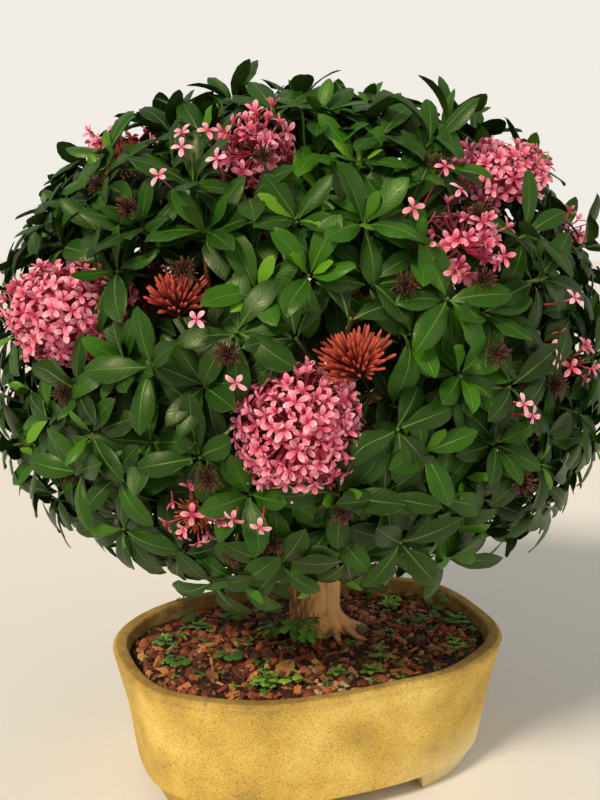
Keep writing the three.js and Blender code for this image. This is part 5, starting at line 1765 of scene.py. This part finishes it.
class IXORA_OT_spent(Operator):
    """Models the dry flower stalks: the spent heads and the small dark knots"""

    bl_idname = "ixora.spent"
    bl_label = "Spent Heads"

    def execute(self, context):
        settings = context.scene.ixora_flowers
        materials = made("dry_flower_stalk", "young_shoot")
        florist = Florist(settings, "spent")
        for head in PLANT["spent"]:
            axis = unit(head["centre"] - head["foot"])
            spine = arch(head["foot"], axis, head["centre"], axis)
            florist.heap.add_stem(florist.rod, spine, 1.4 * MM, 1.1 * MM, 1)
            florist.knot(head["centre"], head["axis"], head["radius"])
            florist.deliver(f"dry_{head['node']}", "spent", materials, head["node"])
        for azimuth, z in KNOTS:
            place = crown_at(azimuth, z)
            normal = crown_normal(place)
            florist.knot(place - normal * 4 * MM, normal, 10 * MM)
            spine = arch(place - normal * 40 * MM, normal, place - normal * 4 * MM, normal)
            florist.heap.add_stem(florist.rod, spine, 1.3 * MM, 1.0 * MM, 1)
        florist.deliver("dry_knots", "spent", materials)
        return {"FINISHED"}


# ------------------------------------------------------------------ weeds


class Sower(Gardener):
    """Grows weeds."""

    def __init__(self, settings):
        super().__init__(settings, "weeds")
        self.size = settings.clover
        rings = ((0.0, 0), (0.25, 0.6, 1), (0.55, 0.95, 1), (0.78, 1), (0.95, 0.6, 1), (1.0, 0))
        self.leaflet = spindle("leaflet", 4, rings)

    def stalk(self, ground, sunk, top, way, thick, thin, tone=0.2):
        spine = arch(ground - UP * sunk * MM, UP, top, way)
        self.heap.add_stem(self.rod, spine, thick * MM, thin * MM, draw=tone)

    def leaf(self, at, up, way, size, width, tilt, droop, clear, fold, shade, thick=0.18):
        leaf = rosette_leaf(at, up, way, size, size * width, tilt, droop, clear * MM)
        self.heap.add_blade(self.leaflet, leaf, thick * MM, fold, draw=shade)

    def clover(self, ground, height, shade=0.45):
        """Slender stalks, each with three rounded leaflets."""
        draw = self.draw
        for i in range(5):
            lean = level(i * GOLDEN_ANGLE) * draw.uniform(0.1, 0.9) * height
            top = ground + lean + UP * height * draw.uniform(0.55, 1.0)
            self.stalk(ground, 3, top, unit(UP + lean / height * 0.5), 0.45, 0.35)
            up = unit(UP + scatter(draw, 0.25))
            spin = draw.uniform(0, TURN)
            for k in range(3):
                way = spoke(up, spin + k * math.tau / 3)
                size = self.size * draw.uniform(0.85, 1.1)
                tone = shade + draw.uniform(-0.12, 0.12)
                self.leaf(top, up, way, size, 0.5, 0.1, 0.3, 0.3, 0.18, tone)

    def seedling(self, ground, height, shade=0.75):
        """A short stem with pairs of leaves, each pair across the one below."""
        draw = self.draw
        self.stalk(ground, 3, ground + UP * height, UP, 0.6, 0.5)
        for pair in range(4):
            at = ground + UP * height * (0.35 + 0.21 * pair)
            size = self.size * (1.35 - 0.2 * pair) * draw.uniform(0.85, 1.1)
            for k in range(2):
                way = level(pair * 1.4 + k * math.pi + draw.uniform(-0.2, 0.2))
                tone = shade + draw.uniform(-0.15, 0.15)
                self.leaf(at, UP, way, size, 0.3, 0.35 + 0.12 * pair, 0.5, 0.3, 0.2, tone)

    def rosette(self, ground, height, shade):
        """Lobed leaves spread low over the soil, each a short stalk with its leaflets side by side."""
        draw = self.draw
        for i in range(6):
            way = level(i * GOLDEN_ANGLE + draw.uniform(-0.3, 0.3))
            foot = ground + way * draw.uniform(3, 7) * MM + UP * height * draw.uniform(0.4, 1.0)
            self.stalk(ground, 3, foot, way, 0.45, 0.4, 0.1)
            for k in (-2, -1, 0, 1, 2):
                size = self.size * draw.uniform(0.7, 0.9) * (1.0 - 0.1 * abs(k))
                tone = shade + draw.uniform(-0.08, 0.08)
                self.leaf(foot, UP, turned(way, UP, k * 0.62), size, 0.3, 0.1, 0.5, 0.1, 0.2, tone)

    def sprout(self, ground):
        """The first leaves of a weed, on a stem a few millimetres high."""
        draw = self.draw
        top = ground + UP * draw.uniform(1.5, 4.5) * MM
        self.stalk(ground, 2, top, UP, 0.35, 0.3, 0.1)
        spin, shade = draw.uniform(0, TURN), draw.uniform(0.0, 0.75)
        for k in range(draw.choice((2, 3, 4))):
            size = draw.uniform(2.4, 4.6) * MM
            self.leaf(top, UP, level(spin + k * 1.9), size, 0.34, 0.3, 0.5, 0.1, 0.2, shade, 0.15)


class IXORA_OT_weeds(Operator):
    """Models the clovers and seedlings that came up in the soil"""

    bl_idname = "ixora.weeds"
    bl_label = "Weeds"

    def execute(self, context):
        settings = context.scene.ixora_weeds
        materials = [weed_material(settings)]
        sower = Sower(settings)
        for node in nodes_named("weed_"):
            low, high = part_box(node)
            ground = np.array(((low.x + high.x) / 2, (low.y + high.y) / 2, low.z + 6 * MM))
            grow = sower.clover if "clover" in node else sower.seedling
            grow(ground, high.z - ground[2])
            sower.deliver(node.replace("weed_", "green_"), "weed", materials, node)
        for x, y, kind, height, shade in MORE_WEEDS:
            at = POT_MIDDLE[:2] + np.array((x, y)) * MM
            getattr(sower, kind)(np.array((*at, soil_height(*at))), height * MM, shade)
        draw = sower.draw
        for _ in range(settings.sprouts):
            x, y = POT_MIDDLE[0] + draw.uniform(-0.15, 0.15), POT_MIDDLE[1] + draw.uniform(-0.12, 0.12)
            if within_pot(x, y, 4 * MM):
                sower.sprout(np.array((x, y, soil_height(x, y))))
        sower.deliver("small_weeds", "weed", materials)
        return {"FINISHED"}


# More weeds: place from the middle of the pot, kind, height, all in mm, and how yellow the plant is, partly
# its own colour and partly painted light on clovers that stand in the crown's shade.
MORE_WEEDS = (
    (-30, -3, "clover", 9, 0.65), (-10, -6, "clover", 11, 0.85), (-2, -15, "clover", 7, 0.95),
    (-1, 18, "clover", 13, 0.5), (-101, 33, "rosette", 12, 0.1), (-60, 33, "rosette", 9, 0.3),
    (-60, -39, "rosette", 7, 0.15), (-98, -45, "rosette", 5, 0.25), (-17, -78, "rosette", 8, 0.85),
    (-33, -82, "rosette", 6, 0.7), (55, 100, "rosette", 10, 0.15), (70, 73, "clover", 6, 0.95),
    (108, 64, "rosette", 14, 0.15), (109, 38, "rosette", 12, 0.15), (87, 33, "rosette", 9, 0.15),
    (121, 30, "seedling", 9, 0.4), (-106, 60, "seedling", 13, 0.5), (45, -63, "seedling", 5, 0.8),
    (112, -18, "seedling", 6, 0.85), (-88, 20, "seedling", 6, 0.4), (20, -66, "seedling", 5, 0.7),
    (-112, -12, "seedling", 7, 0.4),
)


# ------------------------------------------------------------------ the stage


def lamp(name, kind, place, target, colour, **settings):
    light = bpy.data.lights.new(name, kind)
    light.color = linear(colour)[:3]
    for setting, value in settings.items():
        setattr(light, setting, value)
    piece = put(name, light)
    piece.location = place
    piece.rotation_euler = (Vector(target) - Vector(place)).to_track_quat("-Z", "Y").to_euler()


class IXORA_OT_stage(Operator):
    """Sets up the pale floor, the soft lights and the camera"""

    bl_idname = "ixora.stage"
    bl_label = "Stage"

    def execute(self, context):
        settings = context.scene.ixora_stage
        floor = primitive(bpy.ops.mesh.primitive_plane_add, "studio_floor", size=14.0, location=(0, 0, 0))
        floor.data.materials.append(floor_material(settings))
        world = bpy.data.worlds.new("studio")
        context.scene.world = world
        world.use_nodes = True
        tree = world.node_tree
        tree.nodes.clear()
        # The backdrop is lit more than the room, so that the plant keeps its shadows in front of pale paper.
        room = add_node(tree, "Background", linear("#FFFAF0"), settings.sky)
        backdrop = add_node(tree, "Background", linear("#FFFBF2"), settings.backdrop)
        seen = add_node(tree, "LightPath", out="Is Camera Ray")
        add_node(tree, "OutputWorld", add_node(tree, "MixShader", seen, room, backdrop))
        context.scene.view_settings.view_transform = "Standard"
        target = (0.0, 0.0, 0.25)
        key, fill = settings.light, settings.light * 2.2
        lamp("key", "SUN", (-0.8, -1.0, 1.4), target, "#FFF0D8", energy=key, angle=math.radians(12))
        lamp("fill", "AREA", (1.5, -1.2, 0.6), target, "#FFF6EC", energy=fill, shape="DISK", size=1.6)
        camera = put("camera", bpy.data.cameras.new("camera"))
        camera.data.lens = settings.lens
        camera.data.sensor_width = 36.0
        camera.location = Vector(POT_MIDDLE) + Vector(settings.camera)
        camera.rotation_euler = (math.pi / 2 - settings.pitch, 0.0, 0.0)
        context.scene.camera = camera
        return {"FINISHED"}


# ------------------------------------------------------------------ the panel and the run

OPERATORS = (
    IXORA_OT_stage,
    IXORA_OT_pot,
    IXORA_OT_soil,
    IXORA_OT_trunk,
    IXORA_OT_sprays,
    IXORA_OT_filling,
    IXORA_OT_flowers,
    IXORA_OT_singles,
    IXORA_OT_buds,
    IXORA_OT_spent,
    IXORA_OT_weeds,
)


class IXORA_PT_panel(Panel):
    """Lists the pieces of the plant and what a user may change"""

    bl_idname = "IXORA_PT_panel"
    bl_label = "Potted Ixora"
    bl_space_type = "VIEW_3D"
    bl_region_type = "UI"
    bl_category = "Ixora"

    def draw(self, context):
        layout = self.layout
        for operator in OPERATORS:
            layout.operator(operator.bl_idname)
        for name, group in GROUPS.items():
            box = layout.box()
            box.label(text=name.replace("ixora_", "").title())
            for key in group.__annotations__:
                box.prop(getattr(context.scene, name), key)


CLASSES = (*GROUPS.values(), *OPERATORS, IXORA_PT_panel)


def register():
    for kind in CLASSES:
        bpy.utils.register_class(kind)
    for name, group in GROUPS.items():
        setattr(bpy.types.Scene, name, PointerProperty(type=group))


def unregister():
    for name in GROUPS:
        delattr(bpy.types.Scene, name)
    for kind in reversed(CLASSES):
        bpy.utils.unregister_class(kind)


def main():
    register()
    for operator in OPERATORS:
        area, name = operator.bl_idname.split(".")
        getattr(getattr(bpy.ops, area), name)()


if __name__ == "__main__":
    main()
